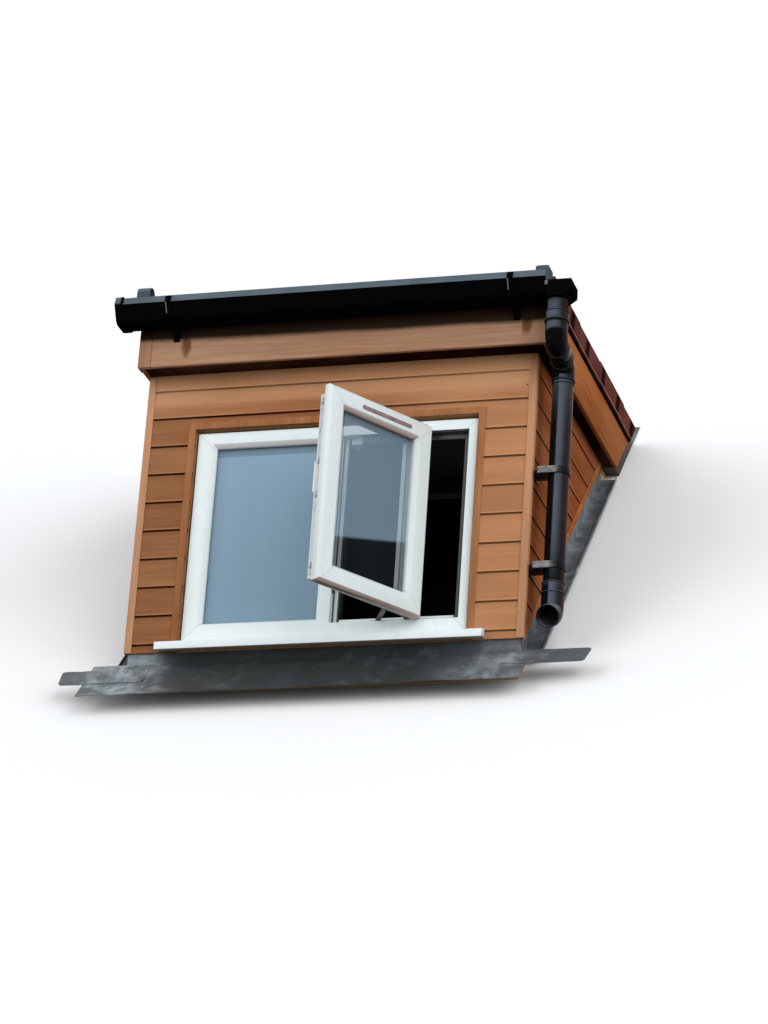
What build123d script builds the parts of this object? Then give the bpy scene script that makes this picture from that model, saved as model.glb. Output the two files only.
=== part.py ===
"""Flat-roofed dormer window for a pitched roof, with gutter, downpipe and lead flashings.

Millimetres, +Z up, +Y into the roof, +X to the right as seen from in front. The origin is
the middle of the front sole plate's bevelled underside, on the plane of the rafters.
"""
from build123d import *
import os
from math import atan, cos, degrees, hypot, radians, sin, tan

# Roof that carries the dormer
roof_pitch = 47.7
tile_rise = 65.0
foot_gap = 53.0

# Walls, and the piers each side of the window
pier_left = 187.0
pier_right = 192.0
wall_depth = 80.0
plate_thick = 47.0
lining_thick = 12.5
cladding_thick = 10.0
trim_proud = 3.0
corner_trim_width = 25.0
closure_rise = 20.0
closure_width = 24.0

# Timbers and heights above and below the window
plate_height = 13.0
lintel_height = 209.5
trimmer_deep = 90.0
trimmer_thick = 50.0

# Eaves and flat roof
fascia_tall = 210.0
front_overhang = 82.0
right_overhang = 48.0
fascia_thick = 15.0
soffit_thick = 10.0
soffit_set_up = 4.0
fascia_trim_width = 43.0
fascia_trim_thick = 3.0
membrane_thick = 3.0
membrane_lap = 150.0
kerb_width = 50.0
kerb_rise = 35.0
kerb_skirt = 48.0
kerb_skin = 8.0
kerb_top_width = 24.0
kerb_toe = 10.0
cap_width = 46.0
cap_rise_left = 80.0
cap_rise_right = 54.0
cap_past_left = 14.0
cap_inset_right = 6.0
cap_front = 105.0
cap_back = 55.0
cap_shell = 4.0
cap_corner = 5.0
drip_reach = 30.0
drip_lap = 20.0
drip_drop = 25.0
drip_thick = 2.0

# Window: outer frame, fixed light on the left, casement on the right
frame_width = 955.0
frame_height = 732.5
frame_depth = 70.0
frame_set_back = 14.5
window_margin = 4.0
left_margin = 8.0
head_margin = 11.0
window_trim_width = 24.0
jamb_left = 64.0
jamb_right = 29.0
rail_top = 35.0
rail_bottom = 44.0
sight_top = 52.5
sight_bottom = 62.0
mullion_left = 449.0
mullion_right = 498.0
chamfer_width = 14.0
chamfer_depth = 12.0
rebate_depth = 30.0
rebate_leg = 20.0
glass_thick = 24.0
glass_cover = 8.0
glass_set_back = 24.0

# Sill
sill_projection = 36.0
sill_thick = 26.0
sill_horn_left = 72.0
sill_horn_right = 65.0
sill_fall = 16.0
sill_shell = 6.0

# Casement, held open on its stays
open_angle = 58.0
hinge_offset = 113.0
hinge_drop = 4.5
sash_lap = 7.0
sash_flange = 30.0
sash_depth = 68.0
sash_edge_chamfer = 9.0
sash_sight = 69.0
stay_stack = 10.0
stay_width = 16.0
track_length = 290.0
sash_plate_length = 250.0
long_arm_at = 0.735
short_arm_at = 0.92
arm_root_gap = 100.0
arm_root_short = 170.0
lock_strip_width = 20.0
lock_strip_thick = 3.0
lock_strip_margin = 14.0
cam_size = 9.0
cam_positions = (0.09, 0.45, 0.62, 0.93)
handle_height = 0.5
handle_plate = (26.0, 70.0, 10.0)
handle_lever = (18.0, 112.0, 14.0)
handle_neck = 12.0
handle_neck_radius = 8.0
vent_cover = (210.0, 13.0, 3.0)
vent_cover_corner = 4.5
vent_cover_drop = 30.0
vent_cover_from_hinge = 96.0

# Gutter
gutter_drop = 4.0
gutter_width = 115.0
gutter_deep = 80.0
gutter_wall = 2.2
gutter_belly = 34.0
gutter_brow = 26.0
gutter_lean = 8.0
gutter_turn = 32.0
gutter_heel = 22.0
gutter_gap = 4.0
gutter_left_past = 71.0
gutter_right_past = 16.0
stop_end_length = 26.0
stop_end_wall = 3.0
fit_gap = 0.3
bracket_width = 20.0
bracket_places = (-551.0, 613.0)
bracket_foot = 40.0
bracket_below_lip = 3.0
outlet_length = 83.0
outlet_step = 35.0
outlet_below = 11.0
outlet_inset = 12.0
outlet_wall = 3.0
outlet_short = 11.0
outlet_slope = (28.0, 20.0)

# Downpipe
pipe_across = 68.0
pipe_wall = 2.2
pipe_stand_off = 83.0
pipe_set_back = 33.0
outlet_forward = 56.0
outlet_beside_pipe = 13.0
bend_across = 73.0
bend_wall = 2.2
bend_radius = 48.0
socket_across = 77.0
spigot_length = 76.0
neck_socket = 64.0
neck_lap = 36.0
neck_fall = 8.0
neck_drop = 60.0
socket_lap = 13.0
pipe_foot_height = 149.0
shoe_drop = 67.0
shoe_reach = 54.0
shoe_fall = 22.0
shoe_radius = 42.0
shoe_socket = 40.0
shoe_skin = 2.5
shoe_wall = 3.5
clip_heights = (570.0, 243.0)
clip_ring = 4.0
clip_tall = 22.0
clip_arm = 37.0
clip_ear = 22.0
clip_lug = 12.0
clip_face = 2.0
clip_gap = 1.0
clip_plate = (56.0, 30.0, 4.0)

# Lead
lead_thick = 2.5
apron_reach_left = 127.0
apron_reach_right = 114.0
apron_left_past = 102.0
apron_right_past = 26.0
tail_left = (102.0, 186.0)
tail_left_fall = (12.0, 74.0)
tail_right = (75.0, 213.0)
tail_right_fall = (-8.0, 55.0)
tail_slant = 10.0
batten_rise = 25.0
channel_width = 58.0
channel_welt = 12.0

# Planes and levels that follow from the sizes above
pitch = radians(roof_pitch)
slope = tan(pitch)
tile_lift = tile_rise / cos(pitch)
front_width = pier_left + frame_width + pier_right
half = front_width / 2
wall_front = -wall_depth / 2
wall_back = wall_depth / 2
clad_front = wall_front - cladding_thick
face = clad_front - trim_proud
clad_side = half - trim_proud
wall_side = clad_side - cladding_thick
room_side = wall_side - wall_depth
foot = slope * face + tile_lift + foot_gap
plate_top = foot + plate_height
frame_bottom = plate_top + sill_thick
frame_top = frame_bottom + frame_height
fascia_bottom = frame_top + lintel_height
soffit_bottom = fascia_bottom + soffit_set_up
wall_top = soffit_bottom + soffit_thick
roof_top = fascia_bottom + fascia_tall
membrane_top = roof_top + membrane_thick
kerb_bottom = roof_top - kerb_skirt
kerb_top = membrane_top + kerb_rise
fascia_front = face - front_overhang
fascia_back = fascia_front + fascia_thick
left_inner = -clad_side
left_outer = left_inner - fascia_thick
right_outer = half + right_overhang
right_inner = right_outer - fascia_thick

frame_left = -half + pier_left
frame_right = half - pier_right
frame_front = face + frame_set_back
frame_back = frame_front + frame_depth
opening_left = frame_left - left_margin
opening_right = frame_right + window_margin
opening_top = frame_top + head_margin
glass_front = frame_front + glass_set_back
glass_back = glass_front + glass_thick
fixed_left = frame_left + jamb_left
fixed_right = frame_left + mullion_left
sight_low = frame_bottom + sight_bottom
sight_high = frame_top - sight_top
casement_left = frame_left + mullion_right
casement_right = frame_right - jamb_right
casement_low = frame_bottom + rail_bottom
casement_high = frame_top - rail_top
rebate_back = frame_front + rebate_depth

sash_width = casement_right - casement_left + 2 * sash_lap
sash_low = casement_low - sash_lap
sash_high = casement_high + sash_lap
sash_height = sash_high - sash_low
body_inset = sash_lap + stay_stack
opened = radians(open_angle)
along_x, along_y = cos(opened), sin(opened)
hinge_x = casement_right - hinge_offset
hinge_y = face - hinge_drop
free_x = hinge_x - sash_width * along_x
free_y = hinge_y - sash_width * along_y
sash_face = Plane(
    origin=(free_x, free_y, sash_low), x_dir=(along_x, along_y, 0), z_dir=(along_y, -along_x, 0)
)

gutter_top = roof_top - gutter_drop
gutter_back = fascia_front - gutter_gap
gutter_front = gutter_back - gutter_width
gutter_bottom = gutter_top - gutter_deep
gutter_left = -half - gutter_left_past + stop_end_wall
gutter_right = right_outer + gutter_right_past
outlet_right = gutter_right + outlet_length
outlet_top = gutter_top - outlet_step
outlet_bottom = gutter_bottom - outlet_below
outlet_front = gutter_front + outlet_inset
outlet_back = gutter_back - outlet_short
pipe_x = half + pipe_stand_off - trim_proud
pipe_y = face + pipe_set_back
outlet_x = pipe_x + outlet_beside_pipe
outlet_y = fascia_front - outlet_forward
pipe_radius = pipe_across / 2
bend_radius_out = bend_across / 2
spigot_low = outlet_bottom - spigot_length
upper_elbow = (outlet_x, outlet_y, spigot_low - neck_socket)
lower_elbow = (pipe_x, pipe_y, upper_elbow[2] - neck_fall)
neck_middle = tuple((a + b) / 2 for a, b in zip(upper_elbow, lower_elbow))

tile_plane = Plane(
    origin=(0, 0, tile_lift), x_dir=(1, 0, 0), z_dir=(0, -sin(pitch), cos(pitch))
)
rafter_plane = Plane(origin=(0, 0, 0), x_dir=(1, 0, 0), z_dir=(0, -sin(pitch), cos(pitch)))


def rafter_y(height):
    """Where the rafter plane reaches a height."""
    return height / slope


def tile_y(height):
    """Where the face of the tiles reaches a height."""
    return (height - tile_lift) / slope


def keep(piece, label):
    """Names a finished piece and writes it."""
    piece.part.label = label
    export_step(piece.part, f"parts/{label}.step")


def block(x_span, y_span, z_span):
    """A square-edged board or panel between pairs of limits."""
    with BuildPart() as piece:
        with BuildSketch(Plane.XY.offset(z_span[0])):
            with Locations(((x_span[0] + x_span[1]) / 2, (y_span[0] + y_span[1]) / 2)):
                Rectangle(x_span[1] - x_span[0], y_span[1] - y_span[0])
        extrude(amount=z_span[1] - z_span[0])
    return piece


def side_shape(points, x_span):
    """A shape drawn in side view, as (y, z) points, run between two x limits."""
    with BuildPart() as piece:
        with BuildSketch(Plane.YZ.offset(x_span[0])):
            with BuildLine():
                Polyline(*points, close=True)
            make_face()
        extrude(amount=x_span[1] - x_span[0])
    return piece


def front_shape(points, y_span):
    """A shape drawn in front view, as (x, z) points, run between two y limits."""
    with BuildPart() as piece:
        with BuildSketch(Plane.XZ.offset(-y_span[1])):
            with BuildLine():
                Polyline(*points, close=True)
            make_face()
        extrude(amount=y_span[1] - y_span[0])
    return piece


def arch(x_span, y_span, z_span):
    """A block with a half-round top, run between two x limits."""
    middle_y = (y_span[0] + y_span[1]) / 2
    radius = (y_span[1] - y_span[0]) / 2
    spring = z_span[1] - radius
    with BuildPart() as piece:
        with BuildSketch(Plane.YZ.offset(x_span[0])):
            with Locations((middle_y, spring)):
                Circle(radius)
            with Locations((middle_y, (z_span[0] + spring) / 2)):
                Rectangle(2 * radius, spring - z_span[0])
        extrude(amount=x_span[1] - x_span[0])
    return piece


def mirrored_points(points, centre):
    """The same outline handed about an upright line."""
    return [(2 * centre - x, z) for x, z in points]


def cut_at_tiles(piece):
    """Trims what runs back along the dormer where it meets the face of the tiles."""
    with BuildPart() as trimmed:
        add(piece.part)
        split(bisect_by=tile_plane, keep=Keep.TOP)
    return trimmed


def pocket(plane, limits, depth, taper=0.0):
    """Cuts a rectangular pocket, (left, bottom, right, top), back from a plane."""
    left, bottom, right, top = limits
    with BuildSketch(plane) as opening:
        with Locations(((left + right) / 2, (bottom + top) / 2)):
            Rectangle(right - left, top - bottom)
    extrude(opening.sketch, amount=-depth, taper=taper, mode=Mode.SUBTRACT)


def grown(limits, by):
    """Rectangle limits moved outward on all four sides."""
    left, bottom, right, top = limits
    return (left - by, bottom - by, right + by, top + by)


def pipe_run(points, radius, outer, wall):
    """A round tube along straight runs joined by one bend."""
    with BuildPart() as piece:
        with BuildLine() as route:
            FilletPolyline(*points, radius=radius)
        start = route.line @ 0
        heading = route.line % 0
        with BuildSketch(Plane(origin=start, z_dir=heading)):
            Circle(outer)
            Circle(outer - wall, mode=Mode.SUBTRACT)
        sweep(path=route.line)
    return piece


def collar(centre, profile):
    """A turned ring about an upright axis, from (radius, height) points."""
    x, y = centre
    with BuildPart() as piece:
        with BuildSketch(Plane(origin=(x, y, 0), x_dir=(1, 0, 0), z_dir=(0, -1, 0))):
            with BuildLine():
                Polyline(*profile, close=True)
            make_face()
        revolve(axis=Axis((x, y, 0), (0, 0, 1)))
    return piece


def joined(*pieces):
    """Several shapes fused into one piece."""
    with BuildPart() as whole:
        for piece in pieces:
            add(piece.part)
    return whole


os.makedirs("parts", exist_ok=True)

# Timber plates that sit on the rafters
front_plate = side_shape(
    [
        (wall_front, slope * wall_front),
        (wall_back, slope * wall_back),
        (wall_back, plate_top),
        (wall_front, plate_top),
    ],
    (-wall_side, wall_side),
)
keep(front_plate, "front_sole_plate")

plate_lift = plate_thick / cos(pitch)
plate_outline = [
    (wall_back, slope * wall_back),
    (rafter_y(wall_top), wall_top),
    (rafter_y(wall_top - plate_lift), wall_top),
    (wall_back, slope * wall_back + plate_lift),
]
cheek_outline = [
    (wall_back, slope * wall_back + plate_lift),
    (rafter_y(wall_top - plate_lift), wall_top),
    (wall_back, wall_top),
]
lining_top = wall_top - lining_thick
lining_outline = [
    (wall_back, slope * wall_back + plate_lift),
    (rafter_y(lining_top - plate_lift), lining_top),
    (wall_back, lining_top),
]
sides = {"left": -1, "right": 1}
for side, hand in sides.items():
    span = sorted((hand * room_side, hand * wall_side))
    keep(side_shape(plate_outline, span), f"{side}_sole_plate")
    keep(side_shape(cheek_outline, span), f"{side}_cheek_wall")

# Front wall, split round the window
wall_span = (wall_front, wall_back)
front_wall_left = block((-wall_side, opening_left), wall_span, (plate_top, wall_top))
keep(front_wall_left, "front_wall_left")
front_wall_right = block((opening_right, wall_side), wall_span, (plate_top, wall_top))
keep(front_wall_right, "front_wall_right")
lintel = block((opening_left, opening_right), wall_span, (opening_top, wall_top))
keep(lintel, "front_wall_above")

# Roof
roof_back = rafter_y(roof_top)
roof_panel = side_shape(
    [
        (fascia_back, wall_top),
        (rafter_y(wall_top), wall_top),
        (roof_back, roof_top),
        (fascia_back, roof_top),
    ],
    (left_inner, right_inner),
)
keep(roof_panel, "roof_panel")

trimmer_low = wall_top - trimmer_deep
head_trimmer = side_shape(
    [
        (rafter_y(wall_top), wall_top),
        (rafter_y(wall_top) - trimmer_thick, wall_top),
        (rafter_y(trimmer_low) - trimmer_thick, trimmer_low),
        (rafter_y(trimmer_low), trimmer_low),
    ],
    (-room_side, room_side),
)
keep(head_trimmer, "head_trimmer")

ceiling = side_shape(
    [
        (wall_back, lining_top),
        (rafter_y(lining_top) - trimmer_thick, lining_top),
        (rafter_y(wall_top) - trimmer_thick, wall_top),
        (wall_back, wall_top),
    ],
    (-room_side, room_side),
)
lining_in = room_side - lining_thick
room_lining = joined(
    ceiling,
    side_shape(lining_outline, (-room_side, -lining_in)),
    side_shape(lining_outline, (lining_in, room_side)),
)
keep(room_lining, "room_lining")

lap_y = membrane_lap * cos(pitch)
lap_z = membrane_lap * sin(pitch)
skin_y = membrane_thick * sin(pitch)
skin_z = membrane_thick * cos(pitch)
membrane = side_shape(
    [
        (fascia_front, roof_top),
        (roof_back, roof_top),
        (roof_back + lap_y, roof_top + lap_z),
        (roof_back + lap_y - skin_y, roof_top + lap_z + skin_z),
        (rafter_y(membrane_top - membrane_thick / cos(pitch)), membrane_top),
        (fascia_front, membrane_top),
    ],
    (left_inner, right_inner),
)
keep(membrane, "roof_membrane")

# Raised kerbs along both sides, with a capped front end
kerb_out = right_outer + kerb_skin
kerb_in = right_outer - kerb_width
kerb_outline = [
    (kerb_out, kerb_bottom),
    (kerb_out, kerb_top),
    (kerb_out - kerb_top_width, kerb_top),
    (kerb_in, membrane_top + kerb_toe),
    (kerb_in, membrane_top),
    (right_inner, membrane_top),
    (right_inner, roof_top),
    (right_outer, roof_top),
    (right_outer, kerb_bottom),
]
middle = (left_outer + right_outer) / 2
kerb_start = face - cap_back
kerb_end = tile_y(kerb_top)
keep(cut_at_tiles(front_shape(kerb_outline, (kerb_start, kerb_end))), "kerb_right")
kerb_outline_left = mirrored_points(kerb_outline, middle)
keep(cut_at_tiles(front_shape(kerb_outline_left, (kerb_start, kerb_end))), "kerb_left")

cap_left = left_outer - kerb_skin - cap_past_left
cap_right = kerb_out - cap_inset_right
cap_depth = (face - cap_front, kerb_start)
cap_top = membrane_top + cap_rise_left
cap_outside = arch((cap_left, cap_left + cap_width), cap_depth, (membrane_top, cap_top))
cap_inside = arch(
    (cap_left + cap_shell, cap_left + cap_width),
    (cap_depth[0] + cap_shell, cap_depth[1] - cap_shell),
    (membrane_top + cap_shell, cap_top - cap_shell),
)
with BuildPart() as arched_cap:
    add(cap_outside.part)
    add(cap_inside.part, mode=Mode.SUBTRACT)
cap_top = membrane_top + cap_rise_right
square_cap = front_shape(
    [
        (cap_right - cap_width, membrane_top),
        (cap_right, membrane_top),
        (cap_right, cap_top - cap_corner),
        (cap_right - cap_corner, cap_top),
        (cap_right - cap_width + cap_corner, cap_top),
        (cap_right - cap_width, cap_top - cap_corner),
    ],
    cap_depth,
)
keep(joined(arched_cap, square_cap), "kerb_caps")

drip_front = fascia_front - drip_reach
drip_trim = side_shape(
    [
        (fascia_front + drip_lap, membrane_top),
        (fascia_front + drip_lap, membrane_top + drip_thick),
        (drip_front, membrane_top + drip_thick),
        (drip_front, roof_top - drip_drop),
        (drip_front + drip_thick, roof_top - drip_drop),
        (drip_front + drip_thick, membrane_top),
    ],
    (cap_left + cap_width, cap_right - cap_width),
)
keep(drip_trim, "front_drip_trim")

# Fascias and soffits
fascia = block((left_outer, right_outer), (fascia_front, fascia_back), (fascia_bottom, roof_top))
keep(fascia, "fascia_front")
fascia_end = tile_y(roof_top)
fascia_span = (fascia_back, fascia_end)
side_fascias = {"left": (left_outer, left_inner), "right": (right_inner, right_outer)}
for side, span in side_fascias.items():
    board = block(span, fascia_span, (fascia_bottom, roof_top))
    keep(cut_at_tiles(board), f"fascia_{side}")

trim_top = kerb_bottom - fit_gap
trim_face = fascia_front - fascia_trim_thick
fascia_corners = []
for edge, hand in ((left_outer, -1), (right_outer, 1)):
    outer = edge + hand * fascia_trim_thick
    front_leg = sorted((outer, outer - hand * fascia_trim_width))
    side_leg = sorted((edge, outer))
    leg_back = trim_face + fascia_trim_width
    trim_span = (fascia_bottom, trim_top)
    fascia_corners.append(block(front_leg, (trim_face, fascia_front), trim_span))
    fascia_corners.append(block(side_leg, (trim_face, leg_back), trim_span))
keep(joined(*fascia_corners), "fascia_corner_trims")

soffit_span = (soffit_bottom, wall_top)
soffit = joined(
    block((left_inner, right_inner), (fascia_back, clad_front), soffit_span),
    cut_at_tiles(block((clad_side, right_inner), (clad_front, tile_y(wall_top)), soffit_span)),
)
keep(soffit, "soffit")

# Cladding
clad_span = (clad_front, wall_front)
trim_left = opening_left - window_trim_width
trim_right = opening_right + window_trim_width
cladding_front = joined(
    block((-clad_side, opening_left), clad_span, (foot, wall_top)),
    block((opening_right, clad_side), clad_span, (foot, wall_top)),
    block((opening_left, opening_right), clad_span, (opening_top, wall_top)),
)
keep(cladding_front, "cladding_front")

closure_lift = (tile_rise + closure_rise) / cos(pitch)
cheek_skin = [
    (wall_front, slope * wall_front + closure_lift),
    (rafter_y(wall_top - closure_lift), wall_top),
    (wall_front, wall_top),
]
closure_top = closure_lift + closure_width / cos(pitch)
trim_back = face + corner_trim_width
closure_outline = [
    (trim_back, slope * trim_back + closure_lift),
    (rafter_y(soffit_bottom - closure_lift), soffit_bottom),
    (rafter_y(soffit_bottom - closure_top), soffit_bottom),
    (trim_back, slope * trim_back + closure_top),
]
closure_heights = {"left": fascia_bottom, "right": soffit_bottom}
cheek_trims = []
corner_trims = []
for side, hand in sides.items():
    skin_span = sorted((hand * wall_side, hand * clad_side))
    keep(side_shape(cheek_skin, skin_span), f"cladding_cheek_{side}")
    height = closure_heights[side]
    closure_outline[1] = (rafter_y(height - closure_lift), height)
    closure_outline[2] = (rafter_y(height - closure_top), height)
    trim_span = sorted((hand * clad_side, hand * half))
    cheek_trims.append(side_shape(closure_outline, trim_span))
    front_leg = sorted((hand * (half - corner_trim_width), hand * half))
    corner_trims.append(block(front_leg, (face, clad_front), (foot, height)))
    corner_trims.append(block(trim_span, (face, trim_back), (foot, height)))
keep(joined(*cheek_trims), "cheek_trims")
keep(joined(*corner_trims), "corner_trims")

trim_depth = (face, clad_front)
head_trim_top = opening_top + window_trim_width
window_trim = joined(
    block((trim_left, opening_left), trim_depth, (foot, opening_top)),
    block((opening_right, trim_right), trim_depth, (foot, opening_top)),
    block((trim_left, trim_right), trim_depth, (opening_top, head_trim_top)),
)
keep(window_trim, "window_trim")

# Window frame with its mullion, the fixed pane and its inner beads
frame_face = Plane.XZ.offset(-frame_front)
glazing_face = Plane.XZ.offset(-glass_front)
fixed_sight = (fixed_left, sight_low, fixed_right, sight_high)
fixed_bed = grown(fixed_sight, glass_cover)
casement_rebate = (casement_left, casement_low, casement_right, casement_high)
chamfer_angle = degrees(atan(chamfer_width / chamfer_depth))
with BuildPart() as window_frame:
    add(block((frame_left, frame_right), (frame_front, frame_back), (frame_bottom, frame_top)).part)
    pocket(frame_face, fixed_sight, frame_depth)
    pocket(frame_face, grown(fixed_sight, chamfer_width), chamfer_depth, chamfer_angle)
    pocket(glazing_face, fixed_bed, glass_thick)
    pocket(frame_face, casement_rebate, rebate_depth)
    pocket(frame_face, grown(casement_rebate, -rebate_leg), frame_depth)
keep(window_frame, "window_frame")

pane_span = (glass_front, glass_back)
fixed_glass = block(
    (fixed_bed[0], fixed_bed[2]), pane_span, (fixed_bed[1], fixed_bed[3])
)
keep(fixed_glass, "fixed_glass")

# Open casement, drawn on its own outer face
sash_outer = (0, 0, sash_width, sash_height)
sash_body = grown(sash_outer, -body_inset)
sash_clear = grown(sash_outer, -sash_sight)
sash_bed = grown(sash_clear, glass_cover)
glass_plane = sash_face.offset(-glass_set_back)
with BuildPart() as sash:
    with BuildSketch(sash_face.offset(-sash_flange)):
        with Locations((sash_width / 2, sash_height / 2)):
            Rectangle(sash_width, sash_height)
    extrude(amount=sash_flange - sash_edge_chamfer)
    with BuildSketch(sash_face.offset(-sash_edge_chamfer)):
        with Locations((sash_width / 2, sash_height / 2)):
            Rectangle(sash_width, sash_height)
    extrude(amount=sash_edge_chamfer, taper=45)
    with BuildSketch(sash_face.offset(-sash_flange)):
        with Locations((sash_width / 2, sash_height / 2)):
            Rectangle(sash_body[2] - sash_body[0], sash_body[3] - sash_body[1])
    extrude(amount=sash_flange - sash_depth)
    pocket(sash_face, sash_clear, sash_depth)
    pocket(sash_face, grown(sash_clear, chamfer_width), chamfer_depth, chamfer_angle)
    pocket(glass_plane, sash_bed, glass_thick)
keep(sash, "casement_sash")

with BuildPart() as sash_glass:
    with BuildSketch(glass_plane):
        with Locations((sash_width / 2, sash_height / 2)):
            Rectangle(sash_bed[2] - sash_bed[0], sash_bed[3] - sash_bed[1])
    extrude(amount=-glass_thick)
keep(sash_glass, "casement_glass")

# Lock strip with its cams on the free edge, and the inside handle
strip_middle = (sash_flange + sash_depth) / 2
strip_low = body_inset + lock_strip_margin
strip_high = sash_height - body_inset - lock_strip_margin
strip_plane = sash_face.offset(-strip_middle - lock_strip_width / 2)
with BuildPart() as lock_strip:
    with BuildSketch(strip_plane):
        with Locations((body_inset - lock_strip_thick / 2, (strip_low + strip_high) / 2)):
            Rectangle(lock_strip_thick, strip_high - strip_low)
    extrude(amount=lock_strip_width)
    with BuildSketch(sash_face.offset(-strip_middle - cam_size / 2)):
        for share in cam_positions:
            with Locations((body_inset - lock_strip_thick - cam_size / 2, share * sash_height)):
                Rectangle(cam_size, 2 * cam_size)
    extrude(amount=cam_size)
keep(lock_strip, "lock_strip")

handle_x = (body_inset + sash_sight) / 2
handle_y = handle_height * sash_height
plate_w, plate_h, plate_d = handle_plate
lever_w, lever_h, lever_d = handle_lever
inner_face = sash_face.offset(-sash_depth)
with BuildPart() as handle:
    with BuildSketch(inner_face):
        with Locations((handle_x, handle_y)):
            RectangleRounded(plate_w, plate_h, plate_w / 3)
    extrude(amount=-plate_d)
    with BuildSketch(inner_face.offset(-plate_d)):
        with Locations((handle_x, handle_y)):
            Circle(handle_neck_radius)
    extrude(amount=-handle_neck)
    with BuildSketch(inner_face.offset(-plate_d - handle_neck + lever_d / 2)):
        with Locations((handle_x, handle_y + lever_h / 2 - lever_w / 2)):
            RectangleRounded(lever_w, lever_h, handle_neck_radius)
    extrude(amount=-lever_d)
keep(handle, "window_handle")

cover_long, cover_wide, cover_proud = vent_cover
with BuildPart() as slot_cover:
    with BuildSketch(sash_face):
        cover_x = sash_width - vent_cover_from_hinge - cover_long / 2
        with Locations((cover_x, sash_height - vent_cover_drop - cover_wide / 2)):
            RectangleRounded(cover_long, cover_wide, vent_cover_corner)
    extrude(amount=cover_proud)
keep(slot_cover, "vent_slot_cover")


# Friction stays above and below the sash
def sash_point(share, inward):
    """A point in plan on the sash, as a share of its width and a depth behind its face."""
    x = free_x + share * sash_width * along_x - inward * along_y
    y = free_y + share * sash_width * along_y + inward * along_x
    return x, y


def flat_bar(start, end, z_span):
    """A flat metal arm with round ends between two points in plan."""
    dx, dy = end[0] - start[0], end[1] - start[1]
    length = hypot(dx, dy)
    plane = Plane(origin=(start[0], start[1], z_span[0]), x_dir=(dx, dy, 0), z_dir=(0, 0, 1))
    with BuildPart() as bar:
        with BuildSketch(plane):
            with Locations((length / 2, 0)):
                SlotCenterToCenter(length, stay_width)
        extrude(amount=z_span[1] - z_span[0])
    return bar


layer = stay_stack / 3
track_y = (frame_front + rebate_back) / 2
long_root = (casement_right - arm_root_short - arm_root_gap, track_y)
short_root = (casement_right - arm_root_short, track_y)
stays = []
arm_inward = strip_middle
for base, up in ((casement_low, 1), (casement_high, -1)):
    spans = [sorted((base + up * k * layer, base + up * (k + 1) * layer)) for k in range(3)]
    track_span = (casement_right - track_length, casement_right - fit_gap)
    track_width = (track_y - stay_width / 2, track_y + stay_width / 2)
    plate_start = sash_point(1 - sash_plate_length / sash_width, arm_inward)
    plate_end = sash_point(short_arm_at, arm_inward)
    stays.append(block(track_span, track_width, spans[0]))
    stays.append(flat_bar(long_root, sash_point(long_arm_at, arm_inward), spans[1]))
    stays.append(flat_bar(short_root, plate_end, spans[1]))
    stays.append(flat_bar(plate_start, plate_end, spans[2]))
keep(joined(*stays), "friction_stays")

# Sill, with horns past both sides of the opening
nose_y = face - sill_projection
nose_top = frame_bottom - sill_fall
nose_bottom = nose_top - sill_thick
horn_back = face - fit_gap
fall_at_horn = sill_fall * (frame_front - horn_back) / (frame_front - nose_y)
under_nose = nose_y + sill_shell
horn_left = frame_left - sill_horn_left
horn_right = frame_right + sill_horn_right
sill_inner = side_shape(
    [
        (wall_back, plate_top),
        (wall_back, frame_bottom),
        (frame_front, frame_bottom),
        (horn_back, frame_bottom - fall_at_horn),
        (horn_back, nose_bottom + sill_shell),
        (wall_front, plate_top),
    ],
    (opening_left + fit_gap, opening_right - fit_gap),
)
sill_nose = side_shape(
    [
        (horn_back, frame_bottom - fall_at_horn),
        (nose_y, nose_top),
        (nose_y, nose_bottom),
        (under_nose, nose_bottom),
        (under_nose, nose_bottom + sill_shell),
        (horn_back, nose_bottom + sill_shell),
    ],
    (horn_left, horn_right),
)
keep(joined(sill_inner, sill_nose), "window_sill")


# Gutter, its stop end, brackets and outlet
def gutter_section(by):
    """The gutter's outside in side view, moved outward by an amount, as a face."""
    front = gutter_front - by
    back = gutter_back + by
    low = gutter_bottom - by
    high = gutter_top + max(by, 0)
    bed = ((front + back) / 2, low)
    brow = (front, gutter_top - gutter_brow)
    with BuildSketch(Plane.YZ) as section:
        with BuildLine():
            FilletPolyline((back, high), (back, low), bed, radius=gutter_heel)
            FilletPolyline(bed, (front + gutter_belly, low), brow, radius=gutter_turn)
            Polyline(brow, (front + gutter_lean, high), (back, high))
        make_face()
    return section.sketch


def gutter_length(x_span, outer, inner=None):
    """A length of the gutter's section, solid or, with an inner size, open on top."""
    start = Pos(x_span[0], 0, 0)
    run = x_span[1] - x_span[0]
    with BuildPart() as piece:
        extrude(start * gutter_section(outer), amount=run, dir=(1, 0, 0))
        if inner is not None:
            extrude(start * gutter_section(inner), amount=run, dir=(1, 0, 0), mode=Mode.SUBTRACT)
            mouth = block(
                x_span,
                (gutter_front + gutter_lean - inner, gutter_back + inner),
                (gutter_top - 2 * gutter_wall, gutter_top + gutter_deep),
            )
            add(mouth.part, mode=Mode.SUBTRACT)
    return piece


keep(gutter_length((gutter_left, gutter_right), 0, -gutter_wall), "gutter")

stop_sleeve = gutter_length((gutter_left, gutter_left + stop_end_length), stop_end_wall, fit_gap)
stop_plate = gutter_length((gutter_left - stop_end_wall, gutter_left), stop_end_wall)
keep(joined(stop_plate, stop_sleeve), "gutter_stop_end")

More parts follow.
